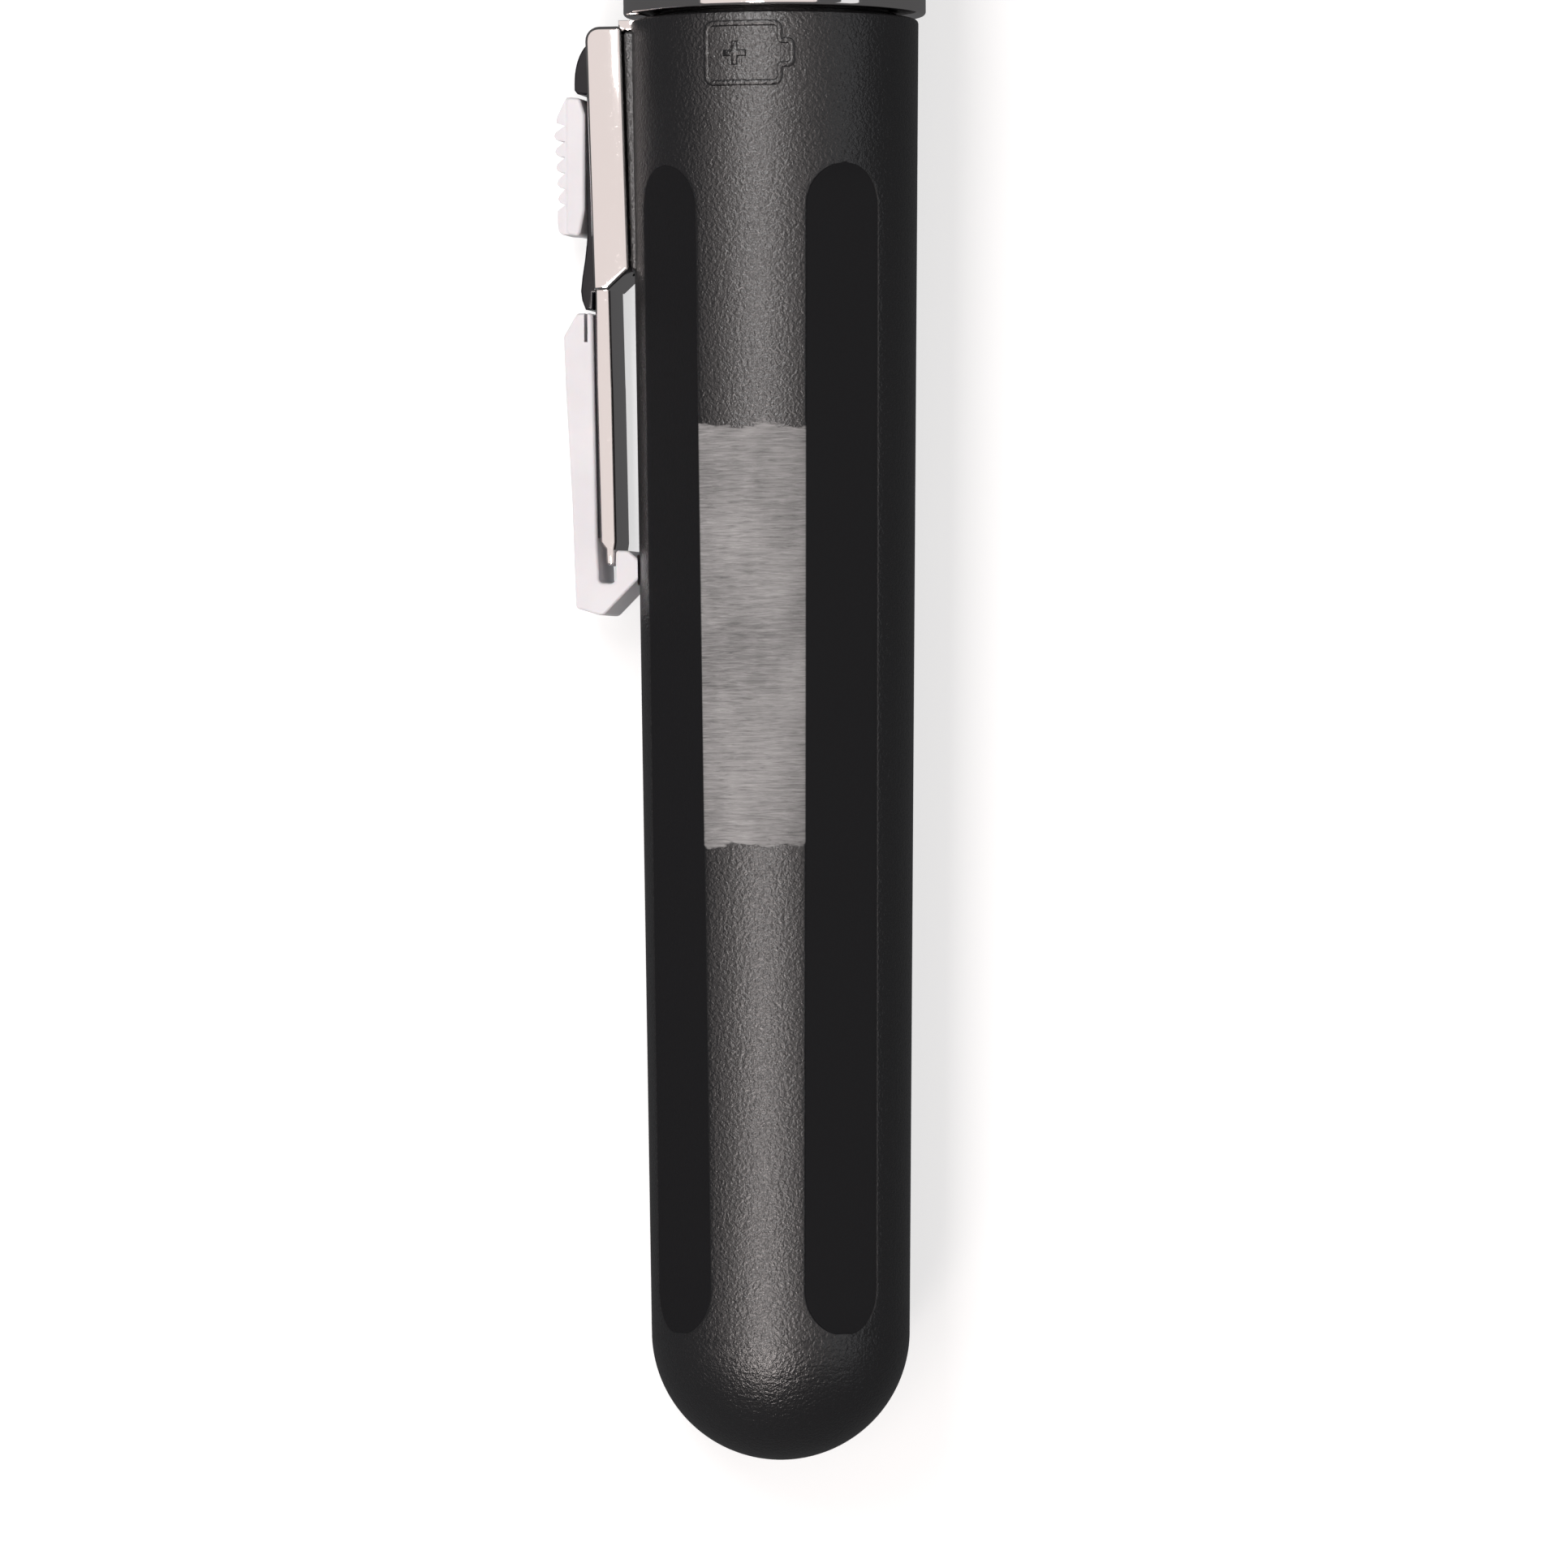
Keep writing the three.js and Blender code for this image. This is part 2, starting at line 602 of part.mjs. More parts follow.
function makeHeadShell() {
  const outside = Array.from({ length: 8 }, (_, i) => {
    const height = THREE.MathUtils.lerp(HEAD_START + RIM_CHAMFER, HEAD_NECK_START, i / 7);
    return [headRadius(height), height];
  });
  const inside = [33, 26, 19, 14].map((height) => [headRadius(height) - 1.35, height]);
  const shell = spin([
    [MOUTH_RADIUS - RIM_CHAMFER, HEAD_START],
    ...outside,
    [HEAD_NECK_RADIUS, HEAD_NECK_START],
    [HEAD_NECK_RADIUS, HEAD_NECK_END],
    [HEAD_NECK_BORE, HEAD_NECK_END],
    [HEAD_NECK_BORE, 36.5],
    ...inside,
    [HEAD_BORE, 11],
    [HEAD_BORE, HEAD_START],
    [MOUTH_RADIUS - RIM_CHAMFER, HEAD_START],
  ]);
  const windowHole = new THREE.CylinderGeometry(1.35, 1.35, 6, SMALL_FACETS);
  windowHole.rotateX(Math.PI / 2).translate(0, INDICATOR_HEIGHT, 8);
  addPiece("head_shell", "black", cut(shell, windowHole));
}

function makeSpigot() {
  const sleeve = spin([
    [SPIGOT_BORE, SPIGOT_START],
    [SPIGOT_RADIUS - 0.2, SPIGOT_START],
    [SPIGOT_RADIUS, SPIGOT_START + 0.2],
    [SPIGOT_RADIUS, -1.5],
    [6.8, -1.5],
    [6.8, -0.4],
    [SPIGOT_RADIUS, -0.4],
    [SPIGOT_RADIUS, COLLAR_START],
    [SPIGOT_NECK, COLLAR_START],
    [SPIGOT_NECK, SPIGOT_END],
    [SPIGOT_BORE, SPIGOT_END],
    [SPIGOT_BORE, SPIGOT_START],
  ]);
  addPiece("threaded_spigot", "black", join(sleeve, thread(-6.5, -2.6, RIDGE)));

  const ring = spin(arc([7.3, -0.95], 0.42, 0, 360, 7));
  addPiece("seal_ring", "rubber", ring);

  const contact = tube(5.6, 7.1, -7.55, -7.25);
  const lead = clipBlock(5.58, 5.82, -7.4, 11.5, 1.6);
  addPiece("ring_contact", "brass", join(contact, lead));
}

function makeFrontContact() {
  const leadSlot = clipBlock(5.3, 6.2, 7, 10, 2);
  addPiece("contact_carrier", "black", cut(disc(5.8, 7.7, 9.2, 32), leadSlot));
  addPiece("front_spring", "steel", coil(new Helix([2.6, 7.35], [1.5, 5.75], 2.5), 0.25, 14));
}

function makeBoard() {
  const outline = new THREE.Shape([
    new THREE.Vector2(-5.2, 9.5),
    new THREE.Vector2(5.4, 9.5),
    new THREE.Vector2(5.4, 24),
    new THREE.Vector2(4.2, 30),
    new THREE.Vector2(4.2, 33.5),
    new THREE.Vector2(-4.2, 33.5),
    new THREE.Vector2(-4.2, 30),
    new THREE.Vector2(-5.2, 24),
  ]);
  const board = new THREE.ExtrudeGeometry(outline, { depth: 1, bevelEnabled: false });
  addPiece("circuit_board", "board", board.translate(0, 0, -0.5));
  const top = 0.5 + GAP;
  addPiece("amplifier_chip", "chip", block([-2, 25.4, top], [2, 29.2, top + 1.4]));
  addPiece("lamp_resistor", "ceramic", block([1.6, 17, top], [3.4, 20.2, top + 0.7]));
  addPiece("smoothing_capacitor", "ceramic", block([-3.6, 17, top], [-1.8, 20.2, top + 1.2]));

  const sounder = new THREE.CylinderGeometry(4.2, 4.2, 2.6, 32);
  sounder.rotateX(Math.PI / 2).translate(0, 16, -top - 1.3);
  addPiece("sounder", "chip", sounder);
}

function makeIndicator() {
  const lamp = new THREE.CylinderGeometry(0.95, 0.95, 3.4, SMALL_FACETS);
  addPiece("indicator_lamp", "red", lamp.rotateX(Math.PI / 2).translate(0, INDICATOR_HEIGHT, 0.65 + 1.7));
  const outside = headRadius(INDICATOR_HEIGHT);
  const plug = new THREE.CylinderGeometry(1.2, 1.2, 2.2, SMALL_FACETS);
  plug.rotateX(Math.PI / 2).translate(0, INDICATOR_HEIGHT, outside - 1.05);
  addPiece("indicator_window", "red", plug);
}

function makeNose() {
  const bezel = spin([
    [BEZEL_BORE, HEAD_NECK_START + 0.2],
    [headRadius(HEAD_NECK_START) - 0.1, HEAD_NECK_START + 0.2],
    [headRadius(HEAD_NECK_START), HEAD_NECK_START + 0.4],
    [6.65, NOSE_END - 0.7],
    [6.4, NOSE_END - 0.1],
    [6.25, NOSE_END],
    [BEZEL_BORE, NOSE_END],
    [BEZEL_BORE, HEAD_NECK_START + 0.2],
  ]);
  addPiece("nose_bezel", "chrome", bezel);

  const lampHole = disc(1.75, 39, 43, SMALL_FACETS).translate(LAMP_OFFSET, 0, 0);
  const readerHole = block([-LAMP_OFFSET - 1.15, 39, -2.15], [-LAMP_OFFSET + 1.15, 43, 2.15]);
  addPiece("nose_plate", "black", cut(disc(5.85, 39.8, NOSE_END), lampHole, readerHole));

  addPiece("lamp_lens", "clear", disc(1.6, 41, NOSE_END - 0.2, SMALL_FACETS).translate(LAMP_OFFSET, 0, 0));
  const lamp = spin(
    [
      [0, 34.4],
      [1.8, 34.4],
      [1.8, 35.3],
      [1.5, 35.3],
      ...arc([0, 38.9], 1.5, 0, 90, 4),
    ],
    SMALL_FACETS,
  );
  addPiece("ultraviolet_lamp", "violet", lamp.translate(LAMP_OFFSET, 0, 0));
  const holder = tube(1.95, 2.5, 34.2, 37.4, SMALL_FACETS);
  addPiece("lamp_holder", "white", holder.translate(LAMP_OFFSET, 0, 0));

  const reader = block([-LAMP_OFFSET - 1, 37.2, -2], [-LAMP_OFFSET + 1, NOSE_END + READER_PROUD, 2]);
  addPiece("reading_head", "steel", reader);
  const magnet = block([-LAMP_OFFSET - 1.2, 34.3, -2], [-LAMP_OFFSET + 1.2, 37, 2]);
  addPiece("bias_magnet", "chip", magnet);
}

// ---- How the pen lies on a table ----
// It leans down to its butt, and rolls until the corner of the white tip touches.
const TILT = Math.asin((COLLAR_RADIUS - BUTT_RADIUS) / (COLLAR_START - BUTT_CENTRE));
const axisAboveTable = COLLAR_RADIUS + (TIP_SHOULDER_HEIGHT - COLLAR_START) * Math.sin(TILT);
const tipCorner = Math.hypot(TIP_SHOULDER, TIP_WIDTH / 2);
const ROLL = Math.asin(axisAboveTable / tipCorner) - Math.atan2(TIP_WIDTH / 2, TIP_SHOULDER);

makeBarrel();
makeCell("battery_rear", REAR_CELL_START);
makeCell("battery_front", REAR_CELL_START + CELL_LENGTH + 0.1);
makeButtContacts();
makeGroundStrip();
makeSwitch();
makeClipFrame();
makeClipScrew();
makeClipCover();
makeThumbSlider();
makeSliderCarrier();
makeClipArm();
makeClipTip();
makeCollar(ROLL + Math.PI / FACETS);
makeHeadShell();
makeSpigot();
makeFrontContact();
makeBoard();
makeIndicator();
makeNose();

// The origin is on the table, under the middle of the pen.
pen.rotation.set(TILT, -ROLL, 0);
pen.updateMatrixWorld(true);
const extent = new THREE.Box3().setFromObject(pen, true);
const middle = extent.getCenter(new THREE.Vector3());
pen.position.set(-middle.x, -middle.y, -extent.min.z);

export default pen;
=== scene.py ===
# %% [markdown]
# # A counterfeit detector pen
# The pen lies on a pale table. Its CAD frame is already solved: every piece has its place, and the moving
# pieces have their joints. This lesson dresses that frame. The pieces that show are built again as fine
# meshes with rounded edges, and everything gets a procedural finish.
#
# The first cell loads the frame. The joints' places, the barrel's length and the pieces inside are read
# from it. The other sizes are given in the cells where they are used.

# %% Load the frame
import json
import math

import bmesh
import bpy
from mathutils import Matrix, Vector


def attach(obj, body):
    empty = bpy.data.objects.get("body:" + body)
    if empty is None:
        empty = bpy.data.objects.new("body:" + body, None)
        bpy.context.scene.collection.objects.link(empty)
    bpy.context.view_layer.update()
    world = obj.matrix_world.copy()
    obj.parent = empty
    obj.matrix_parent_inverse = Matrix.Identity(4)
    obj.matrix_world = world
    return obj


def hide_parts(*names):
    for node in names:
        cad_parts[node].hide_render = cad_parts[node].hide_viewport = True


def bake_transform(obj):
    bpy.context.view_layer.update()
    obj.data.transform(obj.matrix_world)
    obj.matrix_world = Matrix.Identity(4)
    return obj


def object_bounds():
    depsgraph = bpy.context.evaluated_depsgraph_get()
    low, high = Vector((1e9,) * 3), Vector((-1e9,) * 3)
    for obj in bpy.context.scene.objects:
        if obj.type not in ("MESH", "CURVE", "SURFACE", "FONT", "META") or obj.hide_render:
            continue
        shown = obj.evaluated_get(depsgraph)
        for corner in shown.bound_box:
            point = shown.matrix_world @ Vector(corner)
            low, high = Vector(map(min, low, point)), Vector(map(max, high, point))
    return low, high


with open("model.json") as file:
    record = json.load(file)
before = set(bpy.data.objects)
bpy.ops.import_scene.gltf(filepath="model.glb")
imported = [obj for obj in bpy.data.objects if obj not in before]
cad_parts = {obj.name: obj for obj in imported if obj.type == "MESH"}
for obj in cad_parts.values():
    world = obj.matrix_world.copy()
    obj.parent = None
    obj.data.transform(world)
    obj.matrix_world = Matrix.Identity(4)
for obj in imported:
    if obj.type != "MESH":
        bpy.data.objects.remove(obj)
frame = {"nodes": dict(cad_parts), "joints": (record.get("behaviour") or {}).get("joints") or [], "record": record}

MM = 0.001  # in metres
cad_low, cad_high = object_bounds()
print("CAD box in mm:", [round((high - low) / MM, 1) for low, high in zip(cad_low, cad_high)])

# %% [markdown]
# The pen is rolled over onto its clip and leans down to its butt, so the world's axes are awkward to model
# along. Two of the frame's joints give better ones: the head turns about the pen's own axis, and the clip
# bends about a line across the clip. With those, Y runs along the pen, the clip is on the -X side, and
# heights are measured from the barrel's mouth. Sizes are millimetres in these axes, except where a comment
# says metres.

# %% The pen's own axes
joints = {joint["name"]: joint for joint in frame["joints"]}
along = Vector(joints["head_turn"]["axis"]).normalized()
beside = -Vector(joints["clip_flex"]["axis"]).normalized()
across = along.cross(beside)
pen = Matrix((across, along, beside)).transposed().to_4x4()
pen.translation = Vector(joints["head_turn"]["pos_m"])


def in_world(x, y, z):
    """A point in the pen's axes, in millimetres, as a point in the world."""
    return pen @ (Vector((x, y, z)) * MM)


def pen_box(node):
    """Lowest and highest corner of a CAD node along the pen's own axes, in millimetres."""
    into_pen = pen.inverted()
    corners = [into_pen @ vertex.co / MM for vertex in frame["nodes"][node].data.vertices]
    return [min(c[i] for c in corners) for i in range(3)], [max(c[i] for c in corners) for i in range(3)]


barrel_low, barrel_high = pen_box("barrel")
print("The barrel is", round(barrel_high[1] - barrel_low[1], 1), "mm long")

# %% [markdown]
# The camera looks at the pen from well back with a long lens, which keeps the barrel's sides nearly
# parallel. It stands a little past square, away from the clip, so that the clip just hides its outer face.
# It frames the barrel from its butt to the collar.

# %% Camera
scene = bpy.context.scene
FOCAL_LENGTH = 225
VIEW_ANGLE = 100.8  # degrees round from the clip
CAMERA_DISTANCE = 626.7
NEAREST_SEEN = 0.01  # metres
LOOK_AT = (0.37, -48.8)  # to the side of the axis, and along it
LEAN = math.radians(0.27)  # how far the camera is rolled


def around(angle):
    """The direction that many degrees round from the clip, in the world."""
    turn = math.radians(angle)
    return across * -math.cos(turn) + beside * math.sin(turn)


towards_camera = around(VIEW_ANGLE)
screen_right = along.cross(towards_camera)
screen_up = along * math.cos(LEAN) + screen_right * math.sin(LEAN)
screen_right = screen_up.cross(towards_camera)
camera = bpy.data.objects.new("camera", bpy.data.cameras.new("camera"))
scene.collection.objects.link(camera)
camera.data.lens = FOCAL_LENGTH
camera.data.clip_start = NEAREST_SEEN
looked_at = in_world(0, LOOK_AT[1], 0) + screen_right * LOOK_AT[0] * MM
camera.matrix_world = Matrix((screen_right, screen_up, towards_camera)).transposed().to_4x4()
camera.matrix_world.translation = looked_at + towards_camera * CAMERA_DISTANCE * MM
scene.camera = camera
print("Camera stands", round(camera.matrix_world.translation.z, 3), "m above the table")

# %% [markdown]
# A dark, satin pen is shaped by what it reflects. A wide, dim panel stands behind the camera: the flat
# chrome sides mirror its middle, so they come out a quiet pale pink instead of burning out. Strong
# softboxes towards the nose and towards the butt leave that middle free, and the butt's has a much
# brighter end. The barrel's grain spreads their reflections into one long band, which ends in a bright
# spot on the round butt. A weak strip stands on the side away from the clip, to light that edge of the
# barrel.
#
# An area light's power is spread over its face, so a light is given here by its brightness instead. That
# way its size can change without changing how bright its reflection looks.

# %% Lights
STUDIO_COLOUR, STUDIO_STRENGTH = (0.9, 0.9, 0.92, 1), 0.1


def softbox(name, angle, distance, width, low, high, brightness, tint):
    """A rectangular light facing the pen, so many degrees round from the clip. Lengths are in metres."""
    lamp = bpy.data.lights.new(name, "AREA")
    lamp.shape = "RECTANGLE"
    lamp.size, lamp.size_y = width, high - low
    lamp.energy = brightness * math.pi * width * (high - low)
    lamp.color = tint
    light = bpy.data.objects.new(name, lamp)
    scene.collection.objects.link(light)
    outwards = around(angle)
    light.matrix_world = Matrix((along.cross(outwards), along, outwards)).transposed().to_4x4()
    light.matrix_world.translation = in_world(0, 0, 0) + along * (low + high) / 2 + outwards * distance


softbox("wide_panel", 88, 0.75, 1.5, -0.5, 0.6, 0.8, (1, 0.9, 0.87))
softbox("nose_softbox", 86, 0.6, 0.13, 0.09, 0.42, 11, (1, 1, 1))
softbox("butt_softbox", 86, 0.6, 0.13, -0.36, -0.06, 6.5, (1, 0.93, 0.91))
softbox("butt_end_softbox", 86, 0.6, 0.13, -0.45, -0.36, 34, (1, 0.91, 0.88))
softbox("far_side_strip", 160, 0.6, 0.16, -0.4, 0.4, 0.8, (0.97, 0.98, 1))
world = bpy.data.worlds.new("studio")
scene.world = world
world.use_nodes = True
world.node_tree.nodes["Background"].inputs["Color"].default_value = STUDIO_COLOUR
world.node_tree.nodes["Background"].inputs["Strength"].default_value = STUDIO_STRENGTH
scene.view_settings.view_transform = "Standard"

# %% [markdown]
# The table is one big plane, set exactly on the level that the pen touches. Its grey paint gives off
# light of its own, as a light table does, so the background comes out nearly white and the pen throws
# only a faint shadow. It is hidden from glossy rays, because a white table mirrored in the sides of the
# barrel would wash out the pen's dark edges.

# %% Table
def new_material(name, colour, roughness, metallic=0.0):
    """A material with its Principled shader set, ready for more nodes."""
    material = bpy.data.materials.new(name)
    material.use_nodes = True
    shader = material.node_tree.nodes["Principled BSDF"]
    shader.inputs["Base Color"].default_value = (*colour, 1)
    shader.inputs["Roughness"].default_value = roughness
    shader.inputs["Metallic"].default_value = metallic
    return material, shader


def node(material, kind, **settings):
    """A new node. Names that match its inputs set them, the others set its properties."""
    made = material.node_tree.nodes.new(kind)
    for setting, value in settings.items():
        label = setting.replace("_", " ").title()
        if label in made.inputs:
            made.inputs[label].default_value = value
        else:
            setattr(made, setting, value)
    return made


def join(material, output, target):
    material.node_tree.links.new(output, target)


TABLE_SIZE = 3.0  # metres
TABLE_GREY = (0.55, 0.55, 0.55)
TABLE_GLOW = 0.62
table_mesh = bpy.data.meshes.new("table")
half = TABLE_SIZE / 2
table_corners = [(-half, -half, 0), (half, -half, 0), (half, half, 0), (-half, half, 0)]
table_mesh.from_pydata(table_corners, [], [(0, 1, 2, 3)])
table = bpy.data.objects.new("table", table_mesh)
scene.collection.objects.link(table)
table_paint, table_shader = new_material("table_paint", TABLE_GREY, 0.9)
table_shader.inputs["Emission Color"].default_value = (1, 1, 1, 1)
table_shader.inputs["Emission Strength"].default_value = TABLE_GLOW
table_mesh.materials.append(table_paint)
table.location.z = cad_low[2]
table.visible_glossy = False
print("Table is at height", round(cad_low[2] / MM, 3), "mm")

# %% [markdown]
# ## Finishes
# Each finish is a Principled shader, and nearly all of them are fed by noise, with no image anywhere. They
# need the same few steps, so those come first: noise, a change of range, a sum, a blend and a bump.
#
# The noise has to follow the pen and not the table, because some of it is stretched along or across the
# pen. Corners are stored in the world's axes, so their places are turned back into the pen's before the
# noise reads them.

# %% Helpers for finishes
# The Mix node's two inputs and its output, for each kind of value.
MIX_SOCKETS = {"FLOAT": (2, 3, 0), "RGBA": (6, 7, 2)}


def pen_place(material):
    """Places in the pen's own axes, in metres."""
    into_pen = pen.inverted()
    place = node(material, "ShaderNodeTexCoord")
    turned_back = node(material, "ShaderNodeMapping", location=into_pen.translation,
                       rotation=into_pen.to_euler("XYZ"))
    join(material, place.outputs["Object"], turned_back.inputs["Vector"])
    return turned_back.outputs["Vector"]


def noise_along(material, scale, stretch=(1, 1, 1), detail=2.0, roughness=0.5, distortion=0.0):
    """Noise in the pen's own axes: scale is in features per metre, stretch thins it along each axis."""
    mapping = node(material, "ShaderNodeMapping", scale=stretch)
    noise = node(material, "ShaderNodeTexNoise", scale=scale, detail=detail, distortion=distortion)
    noise.inputs["Roughness"].default_value = roughness
    join(material, pen_place(material), mapping.inputs["Vector"])
    join(material, mapping.outputs["Vector"], noise.inputs["Vector"])
    return noise.outputs["Fac"]


def between(material, value, low, high, to_low=0.0, to_high=1.0):
    """Maps a value from one range to another, without leaving it."""
    ranged = node(material, "ShaderNodeMapRange", from_min=low, from_max=high,
                  to_min=to_low, to_max=to_high)
    join(material, value, ranged.inputs["Value"])
    return ranged.outputs["Result"]


def maths(material, operation, first, second):
    """One sum on two values, each of them an output or a number."""
    sum_node = node(material, "ShaderNodeMath", operation=operation)
    for value, entry in zip((first, second), sum_node.inputs):
        if isinstance(value, (int, float)):
            entry.default_value = value
        else:
            join(material, value, entry)
    return sum_node.outputs["Value"]


def mix(material, kind, factor, first, second):
    """A blend of two values (FLOAT) or colours (RGBA), each of them an output or given in figures."""
    mixed = node(material, "ShaderNodeMix", data_type=kind)
    join(material, factor, mixed.inputs["Factor"])
    *entries, result = MIX_SOCKETS[kind]
    for value, entry in zip((first, second), entries):
        if isinstance(value, tuple):
            mixed.inputs[entry].default_value = (*value, 1)
        elif isinstance(value, (int, float)):
            mixed.inputs[entry].default_value = value
        else:
            join(material, value, mixed.inputs[entry])
    return mixed.outputs[result]


def bump(material, shader, height, distance):
    """Raises the surface by a height pattern. The distance is in metres."""
    bumped = node(material, "ShaderNodeBump", distance=distance, strength=1.0)
    join(material, height, bumped.inputs["Height"])
    join(material, bumped.outputs["Normal"], shader.inputs["Normal"])


print("Helpers ready")

# %% [markdown]
# The barrel is moulded in black plastic with a fine leathery grain. The grain is far too fine to model,
# so it is a bump: noise a little under a quarter of a millimetre across. In the four grip flats it nearly
# disappears. A value stored on each corner of the mesh says where the flats are, which keeps one material
# for the whole moulding.
#
# A patch between the two front flats has been rubbed with abrasive paper. It is lighter and matt, with fine
# scratches across the pen. Its edges are ragged, so noise is added to the height before it is compared with
# the ends of the patch.

# %% Barrel finish
SMOOTH = "smooth"  # 1 in the smooth grip flats, 0 on the grained skin
SKIN_BLACK = (0.008, 0.008, 0.009)
GRAIN_SCALE = 4300  # features per metre
GRAIN_ROUGHNESS, FLAT_ROUGHNESS, RUBBED_ROUGHNESS = 0.31, 0.42, 0.62
PATCH_TOP, PATCH_BOTTOM = -26.0, -52.6
PATCH_EDGE, PATCH_RAGGED = 0.2, 0.4  # how softly the patch ends, and how far its edges wander


def barrel_finish():
    material, shader = new_material("grained_black", SKIN_BLACK, FLAT_ROUGHNESS)
    stored = node(material, "ShaderNodeAttribute", attribute_name=SMOOTH)
    grain = maths(material, "SUBTRACT", 1, stored.outputs["Fac"])
    join(material, between(material, grain, 0, 1, 0.2, 0.95), shader.inputs["Specular IOR Level"])

    split = node(material, "ShaderNodeSeparateXYZ")
    join(material, pen_place(material), split.inputs["Vector"])
    ragged = between(material, noise_along(material, 1400, (0.4, 1, 0.4), 3, 0.6), 0.3, 0.7,
                     -PATCH_RAGGED * MM, PATCH_RAGGED * MM)
    height = maths(material, "ADD", split.outputs["Y"], ragged)
    below_top = between(material, height, PATCH_TOP * MM, (PATCH_TOP - PATCH_EDGE) * MM)
    above_bottom = between(material, height, PATCH_BOTTOM * MM, (PATCH_BOTTOM + PATCH_EDGE) * MM)
    in_front = between(material, split.outputs["Z"], 7.0 * MM, 7.6 * MM)
    rubbed = maths(material, "MULTIPLY", below_top, above_bottom)
    rubbed = maths(material, "MULTIPLY", rubbed, in_front)
    rubbed = maths(material, "MULTIPLY", rubbed, grain)

    scratches = noise_along(material, 900, (0.7, 9, 0.7), 6, 0.72, 0.6)
    blotches = noise_along(material, 220, (1, 0.6, 1), 3, 0.6)
    tone = maths(material, "ADD", maths(material, "MULTIPLY", scratches, 0.65),
                 maths(material, "MULTIPLY", blotches, 0.35))
    tone = between(material, tone, 0.36, 0.66)
    worn = mix(material, "RGBA", tone, (0.075, 0.075, 0.076), (0.34, 0.336, 0.336))
    join(material, mix(material, "RGBA", rubbed, SKIN_BLACK, worn), shader.inputs["Base Color"])

    unrubbed = between(material, grain, 0, 1, FLAT_ROUGHNESS, GRAIN_ROUGHNESS)
    rough = mix(material, "FLOAT", rubbed, unrubbed, RUBBED_ROUGHNESS)
    join(material, rough, shader.inputs["Roughness"])

    pebbles = noise_along(material, GRAIN_SCALE, (1, 1, 1), 2, 0.55, 0.3)
    fine = noise_along(material, 9000, (1, 1, 1), 1, 0.5)
    skin = maths(material, "ADD", pebbles, maths(material, "MULTIPLY", fine, 0.25))
    depth = between(material, grain, 0, 1, 0.12, 1)
    skin = maths(material, "MULTIPLY", skin, depth)
    lines = maths(material, "MULTIPLY", scratches, 0.5)
    bump(material, shader, mix(material, "FLOAT", rubbed, skin, lines), 0.07 * MM)
    return material


grained_black = barrel_finish()
print("Finish:", grained_black.name)

# %% [markdown]
# ## The barrel
# The barrel is a tapered tube that closes in a half ball. A Boolean cut for the grip flats would leave long
# thin faces that shade badly, so the skin is one grid of rings and columns instead: each ring is a circle,
# and wherever a flat lies lower than the circle, the flat wins.
#
# The flats run out at both ends along an arc, as a milling cutter leaves them. The functions below give how
# far a flat's face is from the pen's axis, and the angle it takes up, at any height.

# %% Sizes of the barrel
BARREL_LENGTH = barrel_high[1] - barrel_low[1]
MOUTH_RADIUS = 9.2
SLOPE = 0.01135  # radius lost per millimetre towards the butt
BUTT_RADIUS = (MOUTH_RADIUS - SLOPE * BARREL_LENGTH) / (1 - SLOPE)
BUTT_CENTRE = BUTT_RADIUS - BARREL_LENGTH
FLAT_WIDTH = 5.35
FLAT_ANGLES = (-130, -50, 50, 130)  # degrees round from the clip
FLAT_TOP, FLAT_BOTTOM = -9.5, -83.6
CUTTER_RADIUS = 9.56
CUTTER_RUN = 2.8  # how far along the pen the cutter takes to leave the plastic
FADE = 2.5  # past the end of a flat, its columns spread out again over this length


def skin_radius(height):
    return MOUTH_RADIUS + SLOPE * height


def flat_depth(height):
    """Distance from the pen's axis to the face of a grip flat."""
    depth = math.sqrt(skin_radius(height) ** 2 - (FLAT_WIDTH / 2) ** 2)
    past_end = max(height - (FLAT_TOP - CUTTER_RUN), FLAT_BOTTOM + CUTTER_RUN - height, 0)
    if past_end >= CUTTER_RADIUS:
        return 2 * MOUTH_RADIUS
    return depth + CUTTER_RADIUS - math.sqrt(CUTTER_RADIUS ** 2 - past_end ** 2)


def half_flat(height):
    """Half the angle that a grip flat takes up at this height, in degrees."""
    share = flat_depth(height) / skin_radius(height)
    full = math.degrees(math.asin(FLAT_WIDTH / 2 / skin_radius(height)))
    beyond = max(height - FLAT_TOP, FLAT_BOTTOM - height, 0)
    spread = full * min(beyond / FADE, 1)
    return max(math.degrees(math.acos(share)) if share < 1 else 0, spread, 0.4)


print("Butt radius", round(BUTT_RADIUS, 2), "mm; a flat covers", round(2 * half_flat(-40), 1), "degrees")

# %% [markdown]
# The grid's columns are gathered at the edges of the flats, so that the crease follows a row of corners all
# the way round, even over the rounded ends. The rings are packed closely near those ends, where the shape
# changes fastest, and stand wide apart along the straight middle.

# %% Rings and columns
SOFT_EDGE = 0.7  # degrees from a crease to the next column on either side of it
FLAT_STEPS, ROUND_STEPS = 14, 26  # columns across a flat, and across the skin between two flats
NEAR_FLAT = 0.8  # cosine of an angle well past a flat's edge; further round, the flat isn't compared


def column_angles(height):
    """Angles of the columns at one height, gathered at the edges of the flats."""
    half_width = half_flat(height)
    soft = min(SOFT_EDGE, half_width / 3)
    edges = []
    for middle in FLAT_ANGLES:
        edges += [middle - half_width, middle + half_width]
    angles = []
    for index, start in enumerate(edges):
        end = edges[(index + 1) % len(edges)] + (360 if index + 1 == len(edges) else 0)
        steps = FLAT_STEPS if index % 2 == 0 else ROUND_STEPS
        angles += [start, start + soft]
        angles += [start + soft + (end - start - 2 * soft) * i / steps for i in range(1, steps)]
        angles += [end - soft]
    return angles


